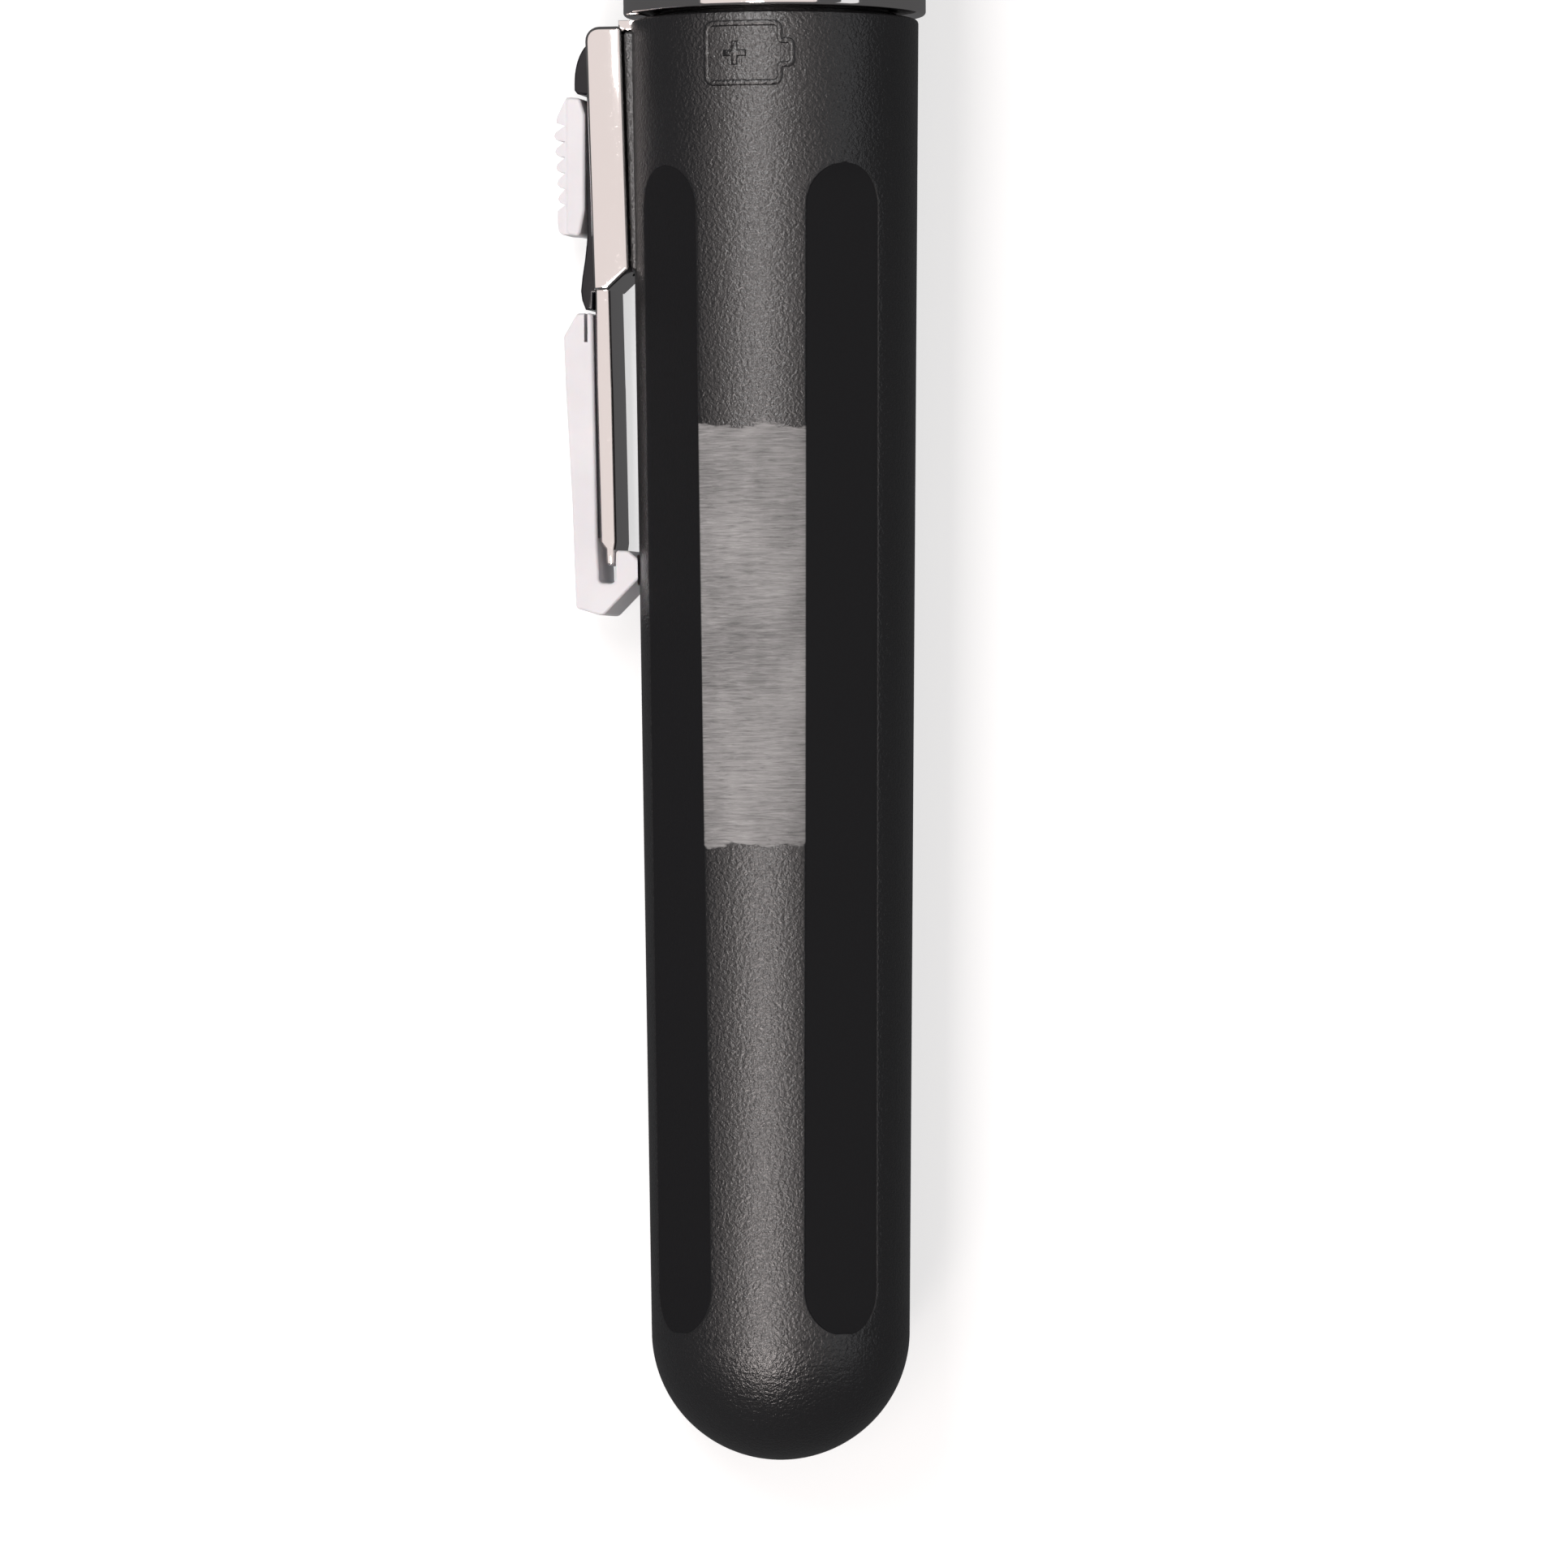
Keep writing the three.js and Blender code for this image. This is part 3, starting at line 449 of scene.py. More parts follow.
def ring_heights():
    """Heights of the rings down the outside, from the mouth to where the ball begins."""
    near_ends = [0.06 * i ** 1.5 for i in range(16)]
    heights = [-0.25 - 0.75 * i for i in range(12)]
    heights += [FLAT_TOP + step for step in (0.4, 0.2, 0.1)]
    heights += [FLAT_TOP - step for step in near_ends]
    heights += [-14.5 - 2 * i for i in range(33)]
    heights += [FLAT_BOTTOM + step for step in near_ends]
    heights = [height for height in heights if height > BUTT_CENTRE]
    return sorted(set(heights), reverse=True)


def skin_point(radius, height, angle, dip=0.0):
    """A corner on the skin. Angles are degrees round from the clip."""
    turn = math.radians(angle)
    for middle in FLAT_ANGLES:
        off = math.cos(math.radians(angle - middle))
        if off > NEAR_FLAT:
            radius = min(radius, flat_depth(height) / off)
    radius -= dip
    return (-radius * math.cos(turn), height, radius * math.sin(turn))


print(len(column_angles(-40)), "columns and", len(ring_heights()), "rings")

# %% [markdown]
# One list of rings makes the whole moulding: up the inside from the end of the cell space, over the lip
# of the mouth, down the outside and round the butt. Each corner on a flat also gets the value that the
# finish reads.

# %% Build the barrel's skin
MOUTH_BORE, CELL_BORE = 7.9, 6.9
MOUTH_BORE_END = -10
LIP = 0.12  # how far the edges of the mouth are taken off
BORE_RINGS, BUTT_RINGS = 8, 40  # in the round end of the cell space, and round the butt
CREASE_DIP = 0.012  # mm taken off the very edge of a flat, which rounds it


def make_piece(name, corners, faces):
    """A closed mesh from corners in millimetres along the pen's axes, with its faces turned outwards."""
    mesh = bpy.data.meshes.new(name)
    mesh.from_pydata([in_world(*corner) for corner in corners], [], faces)
    shell = bmesh.new()
    shell.from_mesh(mesh)
    bmesh.ops.recalc_face_normals(shell, faces=shell.faces)
    shell.to_mesh(mesh)
    shell.free()
    piece = bpy.data.objects.new(name, mesh)
    scene.collection.objects.link(piece)
    return piece


def ring_faces(rings, columns):
    """Quads between rings of corners that are stored one after another."""
    faces = []
    for ring in range(rings - 1):
        for column in range(columns):
            after = (column + 1) % columns
            low, high = ring * columns, (ring + 1) * columns
            faces.append((low + column, low + after, high + after, high + column))
    return faces


def plain_ring(radius, height, angles):
    return [skin_point(0, height, angle, dip=-radius) for angle in angles]


def barrel_skin():
    corners, smooth = [], []
    mouth = column_angles(-0.25)
    inside = [(CELL_BORE, BUTT_CENTRE), (CELL_BORE, MOUTH_BORE_END), (MOUTH_BORE, MOUTH_BORE_END),
              (MOUTH_BORE, -LIP), (MOUTH_BORE + LIP, 0), (MOUTH_RADIUS - 0.25, 0),
              (MOUTH_RADIUS - 0.13, -0.04), (MOUTH_RADIUS - 0.04, -LIP)]
    for step in range(BORE_RINGS, 0, -1):
        turn = math.radians(90 * step / (BORE_RINGS + 0.5))
        corners += plain_ring(CELL_BORE * math.cos(turn), BUTT_CENTRE - CELL_BORE * math.sin(turn), mouth)
    for radius, height in inside:
        corners += plain_ring(radius, height, mouth)
    smooth += [0.0] * len(corners)
    for height in ring_heights():
        angles = column_angles(height)
        for angle in angles:
            nearest = min(abs((angle - middle + 180) % 360 - 180) for middle in FLAT_ANGLES)
            on_crease = abs(nearest - half_flat(height)) < 0.01 and FLAT_BOTTOM < height < FLAT_TOP
            corners.append(skin_point(skin_radius(height), height, angle, CREASE_DIP if on_crease else 0))
            in_flat = nearest < half_flat(height) - 0.01 and FLAT_BOTTOM < height < FLAT_TOP
            smooth.append(1.0 if in_flat else 0.0)
    for step in range(1, BUTT_RINGS):
        turn = math.radians(90 * step / BUTT_RINGS)
        radius, height = BUTT_RADIUS * math.cos(turn), BUTT_CENTRE - BUTT_RADIUS * math.sin(turn)
        corners += plain_ring(radius, height, mouth)
    smooth += [0.0] * (len(corners) - len(smooth))
    columns = len(mouth)
    rings = len(corners) // columns
    faces = ring_faces(rings, columns)
    faces.append(tuple(range(columns))[::-1])
    faces.append(tuple(range((rings - 1) * columns, rings * columns)))
    return corners, faces, smooth


skin_corners, skin_faces, skin_smooth = barrel_skin()
barrel = make_piece("barrel_moulding", skin_corners, skin_faces)
barrel.data.attributes.new(SMOOTH, "FLOAT", "POINT").data.foreach_set("value", skin_smooth)
print("Barrel skin has", len(barrel.data.polygons), "faces")

# %% [markdown]
# Many pieces of the clip are plates: an outline seen from the side, as thick as the piece is wide, with
# their edges rounded over. A bevel modifier trips over the short edges of a curved outline, so the
# rounding is built in: the outline is stacked in layers across the width, and the outer layers are drawn
# in along a quarter circle. Outlines are pairs of distance from the pen's axis and height. A third number
# rounds that corner. It has to be at least as large as the edge, or the outer layers cross themselves.
#
# Modifiers do the holes. The result is made permanent, so that the lesson's pieces stay plain meshes, and
# each piece is tested for gaps, because a Boolean on a bad outline can leave nothing without saying so.

# %% Plates with rounded edges
def rounded(outline, steps=6):
    """Replaces each corner that has a third number by an arc of that radius."""
    points = []
    for index, (r, y, *fillet) in enumerate(outline):
        corner = Vector((r, y))
        if not fillet:
            points.append(corner)
            continue
        before = (Vector(outline[index - 1][:2]) - corner).normalized()
        after = (Vector(outline[(index + 1) % len(outline)][:2]) - corner).normalized()
        half_angle = before.angle(after) / 2
        reach = fillet[0] / math.tan(half_angle)
        centre = corner + (before + after).normalized() * fillet[0] / math.sin(half_angle)
        start, end = corner + before * reach - centre, corner + after * reach - centre
        sweep = start.angle(end)
        for step in range(steps + 1):
            t = step / steps
            weight_a, weight_b = math.sin((1 - t) * sweep), math.sin(t * sweep)
            points.append(centre + (start * weight_a + end * weight_b) / math.sin(sweep))
    return points


def drawn_in(points, distance):
    """The outline moved inwards by a distance. The outline may run either way round."""
    count = len(points)
    area = sum(points[i - 1].x * points[i].y - points[i].x * points[i - 1].y for i in range(count))
    turn = 1 if area > 0 else -1
    moved = []
    for index, point in enumerate(points):
        before = (point - points[index - 1]).normalized()
        after = (points[(index + 1) % count] - point).normalized()
        normal = Vector((-before.y - after.y, before.x + after.x)) * turn
        normal.normalize()
        share = max(normal.dot(Vector((-before.y, before.x)) * turn), 0.4)
        moved.append(point + normal * distance / share)
    return moved


def plate(name, outline, width, edge=0.12, layers=4):
    """A plate on the clip's side of the pen, with its edges rounded over in that many layers."""
    points = rounded(outline)
    corners = []
    for half_way in (1, -1):
        order = range(layers + 1) if half_way > 0 else range(layers, -1, -1)
        for layer in order:
            turn = math.radians(90 * layer / layers)
            inset, depth = edge * (1 - math.sin(turn)), width / 2 - edge * (1 - math.cos(turn))
            corners += [(-p.x, p.y, half_way * depth) for p in drawn_in(points, inset)]
    columns = len(points)
    rings = len(corners) // columns
    faces = ring_faces(rings, columns)
    faces += [tuple(range(columns)), tuple(range((rings - 1) * columns, rings * columns))]
    return make_piece(name, corners, faces)


def block(name, near, far, low, high, width, edge=0.03):
    """A plain plate between two distances from the axis and two heights."""
    return plate(name, [(near, low), (far, low), (far, high), (near, high)], width, edge, 2)


def settle(piece):
    """Makes what the modifiers do to a piece permanent."""
    shown = piece.evaluated_get(bpy.context.evaluated_depsgraph_get())
    made = bpy.data.meshes.new_from_object(shown)
    piece.modifiers.clear()
    piece.data = made


def check_closed(piece):
    """Stops the script if a piece is empty or has an open edge."""
    shell = bmesh.new()
    shell.from_mesh(piece.data)
    open_edges = sum(1 for edge in shell.edges if len(edge.link_faces) != 2)
    volume = shell.calc_volume(signed=True) if shell.faces else 0
    shell.free()
    if open_edges or volume <= 0:
        raise ValueError(f"{piece.name} isn't one closed piece: {open_edges} open edges, volume {volume}")


def shape(piece, operation, *tools):
    """Joins tools to a piece (UNION) or cuts them out of it (DIFFERENCE), and removes the tools."""
    for tool in tools:
        modifier = piece.modifiers.new(tool.name, "BOOLEAN")
        modifier.operation = operation
        modifier.object = tool
        modifier.solver = "EXACT"
    settle(piece)
    for tool in tools:
        bpy.data.objects.remove(tool)
    check_closed(piece)
    return piece


def dress(piece, body, slot, material, *nodes, sharp=32):
    """Gives a piece its finish and its body, and hides the CAD nodes that it stands in for. A piece given no body
    is left unattached.
    """
    check_closed(piece)
    piece.data.materials.clear()
    piece.data.materials.append(material)
    piece.data.shade_smooth()
    piece.data.set_sharp_from_angle(angle=math.radians(sharp))
    if body:
        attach(piece, body)
    if nodes:
        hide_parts(*nodes)
    print(piece.name, "rides on", body, "with", len(piece.data.polygons), "faces")


print("Plate helpers ready")

# %% [markdown]
# The round pieces are lathe work: an outline spun round the pen's axis. An outline that starts and ends on
# the axis makes a solid, and one that closes on itself makes a ring. The parts of the clip that have to lie
# round the barrel are hollowed with such a solid.

# %% Spun pieces
def turned(name, outline, columns=128, middle=0.0):
    """An outline of distances and heights, spun round an axis along the pen."""
    points = rounded(outline)
    rings = [point for point in points if point.x > 0]
    corners = []
    for point in rings:
        for column in range(columns):
            turn = 2 * math.pi * column / columns
            corners.append((middle + point.x * math.cos(turn), point.y, point.x * math.sin(turn)))
    faces = ring_faces(len(rings), columns)
    last = (len(rings) - 1) * columns
    if len(rings) < len(points):
        faces += [tuple(range(columns)), tuple(range(last, last + columns))]
    else:
        for column in range(columns):
            after = (column + 1) % columns
            faces.append((last + column, last + after, after, column))
    return make_piece(name, corners, faces)


def room_for_barrel(low, high, room=0.15):
    """A cutter that hollows a piece to lie round the barrel with a little room."""
    return turned("room_for_barrel", [(0, low), (skin_radius(low) + room, low),
                                      (skin_radius(high) + room, high), (0, high)])


def turn_piece(piece, turn):
    """Moves a piece's corners by a matrix given in the pen's own axes."""
    piece.data.transform(pen @ turn @ pen.inverted())
    return piece


def pin(name, radius, near, far, height, direction):
    """A round pin square to the pen's axis, towards the clip or out of the front (+Z)."""
    quarter = math.radians(90)
    turns = {"clip": Matrix.Rotation(quarter, 4, "Z"), "front": Matrix.Rotation(quarter, 4, "X")}
    made = turned(name, [(0, near), (radius, near), (radius, far), (0, far)], 48)
    return turn_piece(made, Matrix.Translation(Vector((0, height, 0)) * MM) @ turns[direction])


print("Spun pieces ready")

# %% [markdown]
# Under the clip the barrel has a raised strip, just clear of the clip's foot. It leans in towards the butt
# with the foot. The moulding is finished by a notch at the mouth for the clip's tongue, the opening for the
# switch and the hole for the clip's screw. Four low ribs inside keep the cells in the middle.

# %% Strip, openings and ribs of the barrel
CLIP_WIDTH = 5.6
FOOT_AT_MOUTH, FOOT_SLOPE = 9.47, 0.029
FOOT_START, FOOT_END = -0.35, -15.9
STRIP_START, STRIP_GAP = -0.75, 0.15  # the gap is between the strip and the clip's foot
SWITCH_LOW, SWITCH_HIGH = -13.4, -8.9
TONGUE_WIDTH = 3.4
SCREW_HEIGHT = -15.2


def foot_radius(height):
    return FOOT_AT_MOUTH + FOOT_SLOPE * height


def turned_block(name, near, far, low, high, width, angle):
    """A block that many degrees round from the clip."""
    piece = block(name, near, far, low, high, width)
    return turn_piece(piece, Matrix.Rotation(math.radians(angle), 4, "Y"))


strip_outline = [(8.0, STRIP_START), (foot_radius(STRIP_START) - STRIP_GAP, STRIP_START, 0.18),
                 (foot_radius(FOOT_END) - STRIP_GAP, FOOT_END, 0.18), (8.0, FOOT_END)]
strip = plate("strip", strip_outline, CLIP_WIDTH, 0.15)
shape(barrel, "UNION", strip)
ribs = [turned_block("cell_rib", 5.65, CELL_BORE + 0.3, -82, -10.5, 1.0, angle)
        for angle in (45, 135, 225, 315)]
shape(barrel, "UNION", *ribs)
openings = [block("tongue_notch", 8.35, 10.5, -0.7, 0.5, TONGUE_WIDTH + 0.3),
            block("switch_opening", 6.0, 10.5, SWITCH_LOW, SWITCH_HIGH, 3.0),
            pin("screw_hole", 1.1, 6.0, 10.5, SCREW_HEIGHT, "clip")]
shape(barrel, "DIFFERENCE", *openings)
dress(barrel, "barrel", "barrel", grained_black, "barrel")

# %% [markdown]
# ## Finishes of the clip and the head
# Chrome plating is a mirror with a few flaws: a faint wave in the moulding under it and fine specks. Too
# much of either turns the mirror into brushed steel, so both stay shallow. The white plastic is satin and
# lets a little light in, and the cover is a polished black that shows hardly anything but reflections.
#
# Every finish is a small function, so that one look stays in one place.

# %% Chrome, white and glossy black
def chrome_finish():
    material, shader = new_material("bright_chrome", (0.86, 0.83, 0.82), 0.06, 1.0)
    specks = between(material, noise_along(material, 5200, (1, 1, 1), 2, 0.6), 0.6, 0.78, 0.05, 0.17)
    join(material, specks, shader.inputs["Roughness"])
    wave = noise_along(material, 420, (1, 0.35, 1), 2, 0.5)
    bump(material, shader, wave, 0.004 * MM)
    return material


def white_finish():
    material, shader = new_material("satin_white", (0.7, 0.695, 0.72), 0.38)
    shader.inputs["Subsurface Weight"].default_value = 0.12
    shader.inputs["Subsurface Scale"].default_value = 0.5 * MM
    tone = between(material, noise_along(material, 160, (1, 1, 1), 3, 0.6), 0.3, 0.7)
    colour = mix(material, "RGBA", tone, (0.66, 0.655, 0.685), (0.72, 0.715, 0.74))
    join(material, colour, shader.inputs["Base Color"])
    bump(material, shader, noise_along(material, 2600, (1, 1, 1), 3, 0.5), 0.006 * MM)
    return material


def gloss_finish():
    material, shader = new_material("gloss_black", (0.006, 0.006, 0.009), 0.1)
    smear = between(material, noise_along(material, 500, (1, 0.5, 1), 4, 0.6), 0.35, 0.75, 0.07, 0.2)
    join(material, smear, shader.inputs["Roughness"])
    bump(material, shader, noise_along(material, 300, (1, 1, 1), 2, 0.5), 0.004 * MM)
    return material


bright_chrome = chrome_finish()
satin_white = white_finish()
gloss_black = gloss_finish()
print("Finishes:", bright_chrome.name, satin_white.name, gloss_black.name)

# %% [markdown]
# ## The clip
# The chrome is one springy moulding: a channel screwed to the barrel, which narrows into the arm. In the
# frame these are two bodies with a hinge at the arm's root. Here they are one mesh with no body, with many
# corners along the arm where it would bend.

# %% Chrome of the clip
CHANNEL_WIDTH = 4.1
ARM_WIDTH = 4.4
FRAME_END = -17.2
ARM_BEND = -33.3


def straight(start, end, steps):
    """Points along a line, so that a piece has corners where it has to bend."""
    return [(start[0] + (end[0] - start[0]) * i / steps, start[1] + (end[1] - start[1]) * i / steps)
            for i in range(steps + 1)]


def clip_chrome():
    side = [(foot_radius(FOOT_START), FOOT_START, 0.32), (11.87, FOOT_START, 0.9)]
    side += [(11.36, FRAME_END), (10.42, FRAME_END), (foot_radius(FOOT_END), FOOT_END, 0.3)]
    clip = plate("clip_chrome", side, CLIP_WIDTH, 0.28, 6)
    outer = straight((11.38, -16.6), (11.33, -23), 16) + straight((11.32, -23.4), (11.1, ARM_BEND), 10)
    inner = straight((10.08, ARM_BEND), (10.25, -23.5), 10) + straight((10.27, -23), (10.42, -16.6), 16)
    end = [(10.76, -33.75), (10.74, -34.8, 0.26), (10.17, -34.8, 0.26), (10.15, -33.75)]
    arm = plate("arm", outer + end + inner, ARM_WIDTH, 0.2, 5)
    tongue = block("tongue", 8.55, 9.87, -0.55, 0.1, TONGUE_WIDTH, 0.1)
    shape(clip, "UNION", arm, tongue)
    hollows = [block("channel", 10.1, 13, -13.9, -1.15, CHANNEL_WIDTH),
               block("tail_channel", 10.8, 13, -17.25, -13.8, CHANNEL_WIDTH - 0.04),
               block("window", 8.5, 10.3, SWITCH_LOW, SWITCH_HIGH, 3.2),
               pin("screw_hole", 1.0, 8.5, 10.65, SCREW_HEIGHT, "clip"),
               room_for_barrel(-18, -0.7)]
    return shape(clip, "DIFFERENCE", *hollows)


clip = clip_chrome()
dress(clip, None, "chrome", bright_chrome, "clip_frame", "clip_arm", sharp=38)
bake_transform(clip)

# %% [markdown]
# The black cover closes the channel. Its nose end swells into a hood that guards the slider, and its tail
# rises a little to lap over the root of the white tip. A thin dark strip lies between the arm and the tip.

# %% Cover and liner
COVER_WIDTH = 4.0
ARM_ROOT = -17.4
ARM_AT_ROOT, ARM_AT_BEND = 11.36, 11.1  # how far the arm's outer face is from the pen's axis


def clip_cover():
    hood = [(11.2 + 1.5 * math.cos(math.radians(a)), -3.85 + 2.7 * math.sin(math.radians(a)))
            for a in range(66, -1, -6)]
    outline = [(11.5, -1.4)] + hood + [(12.7, -4.35), (12.5, -4.6), (11.9, -4.62)]
    outline += [(11.9, -9), (11.9, -13.6), (11.95, -14.2), (12.08, -15.3), (12.24, -16.3), (12.34, -17.2),
                (12.26, -17.8), (12.03, -18.4), (11.53, -18.4), (11.52, -17.35), (10.96, -17.3),
                (10.96, -14.05), (11.5, -13.6)]
    cover = plate("clip_cover_moulding", outline, COVER_WIDTH, 0.14, 5)
    shape(cover, "DIFFERENCE", block("slot", 11.0, 13, -11.75, -7.65, 1.9))
    return cover


def arm_outer(height):
    return ARM_AT_ROOT + (ARM_AT_BEND - ARM_AT_ROOT) * (height - ARM_ROOT) / (ARM_BEND - ARM_ROOT)


dress(clip_cover(), "barrel", "gloss_black", gloss_black, "clip_cover")
LINER_TOP, LINER_BOTTOM = -18.8, -33
LINER_PROUD, LINER_SUNK = 0.13, 0.2
liner_outline = [(arm_outer(LINER_TOP) + LINER_PROUD, LINER_TOP),
                 (arm_outer(LINER_BOTTOM) + LINER_PROUD, LINER_BOTTOM),
                 (arm_outer(LINER_BOTTOM) - LINER_SUNK, LINER_BOTTOM),
                 (arm_outer(LINER_TOP) - LINER_SUNK, LINER_TOP)]
liner = plate("clip_liner_strip", liner_outline, 4.25, 0.03, 2)
dress(liner, "clip_spring_arm", "gloss_black", gloss_black, "clip_liner")

# %% [markdown]
# The thumb slider is a sled with a narrower grip on its back. Between its two ends the grip has five lobes,
# each a little lower than the last. A lobe has a long slope on the side of the nose and a steep face towards
# the butt. All five come from one function.

# %% Thumb slider
FIRST_RIB, RIB_PITCH, RIB_COUNT = -7.25, 1.01, 5
RIB_VALLEY = 13.4


def lobe(height, tip):
    """One lobe of the grip, with its tip at the given height and distance."""
    return [(RIB_VALLEY, height + 0.66), (tip - 0.1, height + 0.26), (tip, height),
            (tip - 0.12, height - 0.2), (tip - 0.27, height - 0.29), (RIB_VALLEY, height - 0.34)]


def thumb_slider():
    sled = [(12.02, -5.9, 0.25), (12.35, -4.85, 0.3), (13.3, -4.75, 0.28), (13.3, -13.55, 0.35),
            (12.4, -13.7, 0.3), (12.06, -12.0, 0.4)]
    body = plate("thumb_slider_moulding", sled, 3.9, 0.22, 6)
    grip = [(13.0, -4.8), (13.26, -4.78), (13.52, -5.2), (13.89, -6.0), (13.96, -6.4)]
    for index in range(RIB_COUNT):
        grip += lobe(FIRST_RIB - index * RIB_PITCH, 14.1 - 0.06 * index)
    grip += [(13.5, -11.72), (13.89, -12.03), (13.89, -12.84), (13.84, -13.3), (13.62, -13.55),
             (13.0, -13.6)]
    ribs = plate("grip", grip, 3.4, 0.07, 4)
    neck = block("neck", 11.2, 12.3, -9.5, -7.9, 1.4)
    return shape(body, "UNION", ribs, neck)


dress(thumb_slider(), "slider", "white_plastic", satin_white, "thumb_slider", sharp=40)

# %% [markdown]
# The white tip is a bar that lies along the arm and hooks round its end, back to the barrel. A short groove
# in its upper end parts a thin inner strip from the bar there. The end of the hook is hollowed to lie round
# the barrel with a little room.

# %% White tip
TIP_START = -18.65
TIP_GAP = 0.15  # between the arm's outer face and the bar


def clip_tip():
    outline = [(arm_outer(TIP_START) + TIP_GAP, TIP_START, 0.22), (12.5, TIP_START, 0.3), (13.37, -20.1, 0.6),
               (13.26, -23.4), (12.87, -30.7), (12.68, -36.7), (12.64, -37.5, 0.3), (10.89, -38.02, 0.5),
               (8.45, -35.55, 0.3), (8.45, -34.5, 0.3), (9.2, -33.85, 0.4), (10.03, -33.82, 0.22),
               (10.09, -35.93, 0.3), (11.14, -35.9, 0.3), (11.14, -35.2),
               (arm_outer(ARM_BEND) + TIP_GAP, ARM_BEND)]
    tip = plate("clip_tip_moulding", outline, 5.0, 0.18, 6)
    shape(tip, "UNION", block("peg", 10.6, 12.0, -22.15, -20.85, 1.4))
    cuts = [block("groove", 11.8, 12.02, -20.5, -18.0, 6.0, 0.02), room_for_barrel(-39, -33)]
    return shape(tip, "DIFFERENCE", *cuts)


dress(clip_tip(), "clip_spring_arm", "white_plastic", satin_white, "clip_tip", sharp=40)

# %% [markdown]
# ## The mark on the barrel
# A small raised mark near the mouth says that the pen takes cells: a battery drawn as an outline with its
# nub, and a plus sign. The outline is one ridge swept along a closed line and laid round the skin, and the
# plus is a small cross. Both are sunk slightly into the barrel, so that no gap shows under them.

# %% Raised battery mark
MARK_ANGLE = 90.3  # degrees round from the clip
MARK_MIDDLE = -2.68
MARK_LENGTH, MARK_HEIGHT = 6.0, 4.15  # round the barrel, and along it
RIDGE_WIDTH, RIDGE_PROUD, RIDGE_SUNK = 0.4, 0.12, 0.1


def on_skin(point, level):
    """A place given as distance round and height, raised from the skin."""
    height = MARK_MIDDLE + point.y
    angle = MARK_ANGLE + math.degrees(point.x / skin_radius(height))
    return skin_point(skin_radius(height), height, angle, -level)


def finely(points, step=0.25):
    """Adds corners along the long sides. One straight side across the round skin would sink into it."""
    fine = []
    for index, start in enumerate(points):
        end = points[(index + 1) % len(points)]
        parts = max(1, math.ceil((end - start).length / step))
        fine += [start + (end - start) * part / parts for part in range(parts)]
    return fine


def battery_outline():
    """A ridge that follows one closed line: the cell's case with its nub."""
    far, top, nub = MARK_LENGTH / 2 - 0.2, MARK_HEIGHT / 2 - 0.2, 0.75
    shoulder = far - 0.8
    path = [(-far, -top, 0.5), (shoulder, -top, 0.4), (shoulder, -nub, 0.15), (far, -nub, 0.3),
            (far, nub, 0.3), (shoulder, nub, 0.15), (shoulder, top, 0.4), (-far, top, 0.5)]
    line = finely(rounded(path))
    section = ((0.5, -RIDGE_SUNK), (0.5, 0.5 * RIDGE_PROUD), (0.3, RIDGE_PROUD), (-0.3, RIDGE_PROUD),
               (-0.5, 0.5 * RIDGE_PROUD), (-0.5, -RIDGE_SUNK))
    corners = []
    for sideways, level in section:
        corners += [on_skin(point, level) for point in drawn_in(line, sideways * RIDGE_WIDTH * 0.9)]
    columns, last = len(line), (len(section) - 1) * len(line)
    faces = ring_faces(len(section), columns)
    faces += [(last + i, last + (i + 1) % columns, (i + 1) % columns, i) for i in range(columns)]
    return make_piece("battery_outline", corners, faces)


def battery_plus():
    arm, half = 0.75, RIDGE_WIDTH / 2
    quarter = [(half, half), (half, arm), (-half, arm)]
    cross = []
    for turns in range(4):
        spin = Matrix.Rotation(math.radians(90 * turns), 2)
        cross += [spin @ Vector(point) - Vector((0.9, 0)) for point in quarter]
    corners = []
    for inset, level in ((0, -RIDGE_SUNK), (0, 0.5 * RIDGE_PROUD), (0.07, RIDGE_PROUD)):
        corners += [on_skin(point, level) for point in drawn_in(cross, inset)]
    columns = len(cross)
    faces = ring_faces(3, columns) + [tuple(range(columns)), tuple(range(2 * columns, 3 * columns))]
    return make_piece("battery_plus", corners, faces)


dress(battery_outline(), "barrel", "barrel", grained_black, sharp=50)
dress(battery_plus(), "barrel", "barrel", grained_black, sharp=50)

# %% [markdown]
# ## The collar and the head
# The collar is a plain chrome ring with soft edges. It is round, so it is one spun outline.

# %% Collar
COLLAR_START, COLLAR_END = 0.3, 5.15
COLLAR_BORE, COLLAR_RADIUS, COLLAR_EDGE = 7.85, 9.67, 0.22
collar_outline = [(COLLAR_BORE, COLLAR_START), (COLLAR_RADIUS, COLLAR_START, COLLAR_EDGE),
                  (COLLAR_RADIUS, COLLAR_END, COLLAR_EDGE), (COLLAR_BORE, COLLAR_END)]
collar = turned("collar_ring_turned", collar_outline, 192)
dress(collar, "collar", "chrome", bright_chrome, "collar_ring")

# %% [markdown]
# Above the collar the head keeps the barrel's width and then draws in along a smooth curve to the nose.
# The shell is spun too, with the curve on its outside and a stepped bore on its inside. A round hole in
# its front takes the indicator's window. Its plastic has the barrel's grain, only shallower.

# %% Head shell
HEAD_START, NECK_START, NECK_END, NOSE_END = 5.45, 36.4, 39.6, 42.2
TAPER_START, TAPER_END, NOSE_RADIUS = 9, 42.4, 6.3
CURVE_START, CURVE_STEPS = 5.7, 24
SHELL_WALL = 1.35
INDICATOR_HEIGHT = 22


def head_radius(height):
    share = min(max((height - TAPER_START) / (TAPER_END - TAPER_START), 0), 1)
    share = share * share * (3 - 2 * share)
    return MOUTH_RADIUS + (NOSE_RADIUS - MOUTH_RADIUS) * share


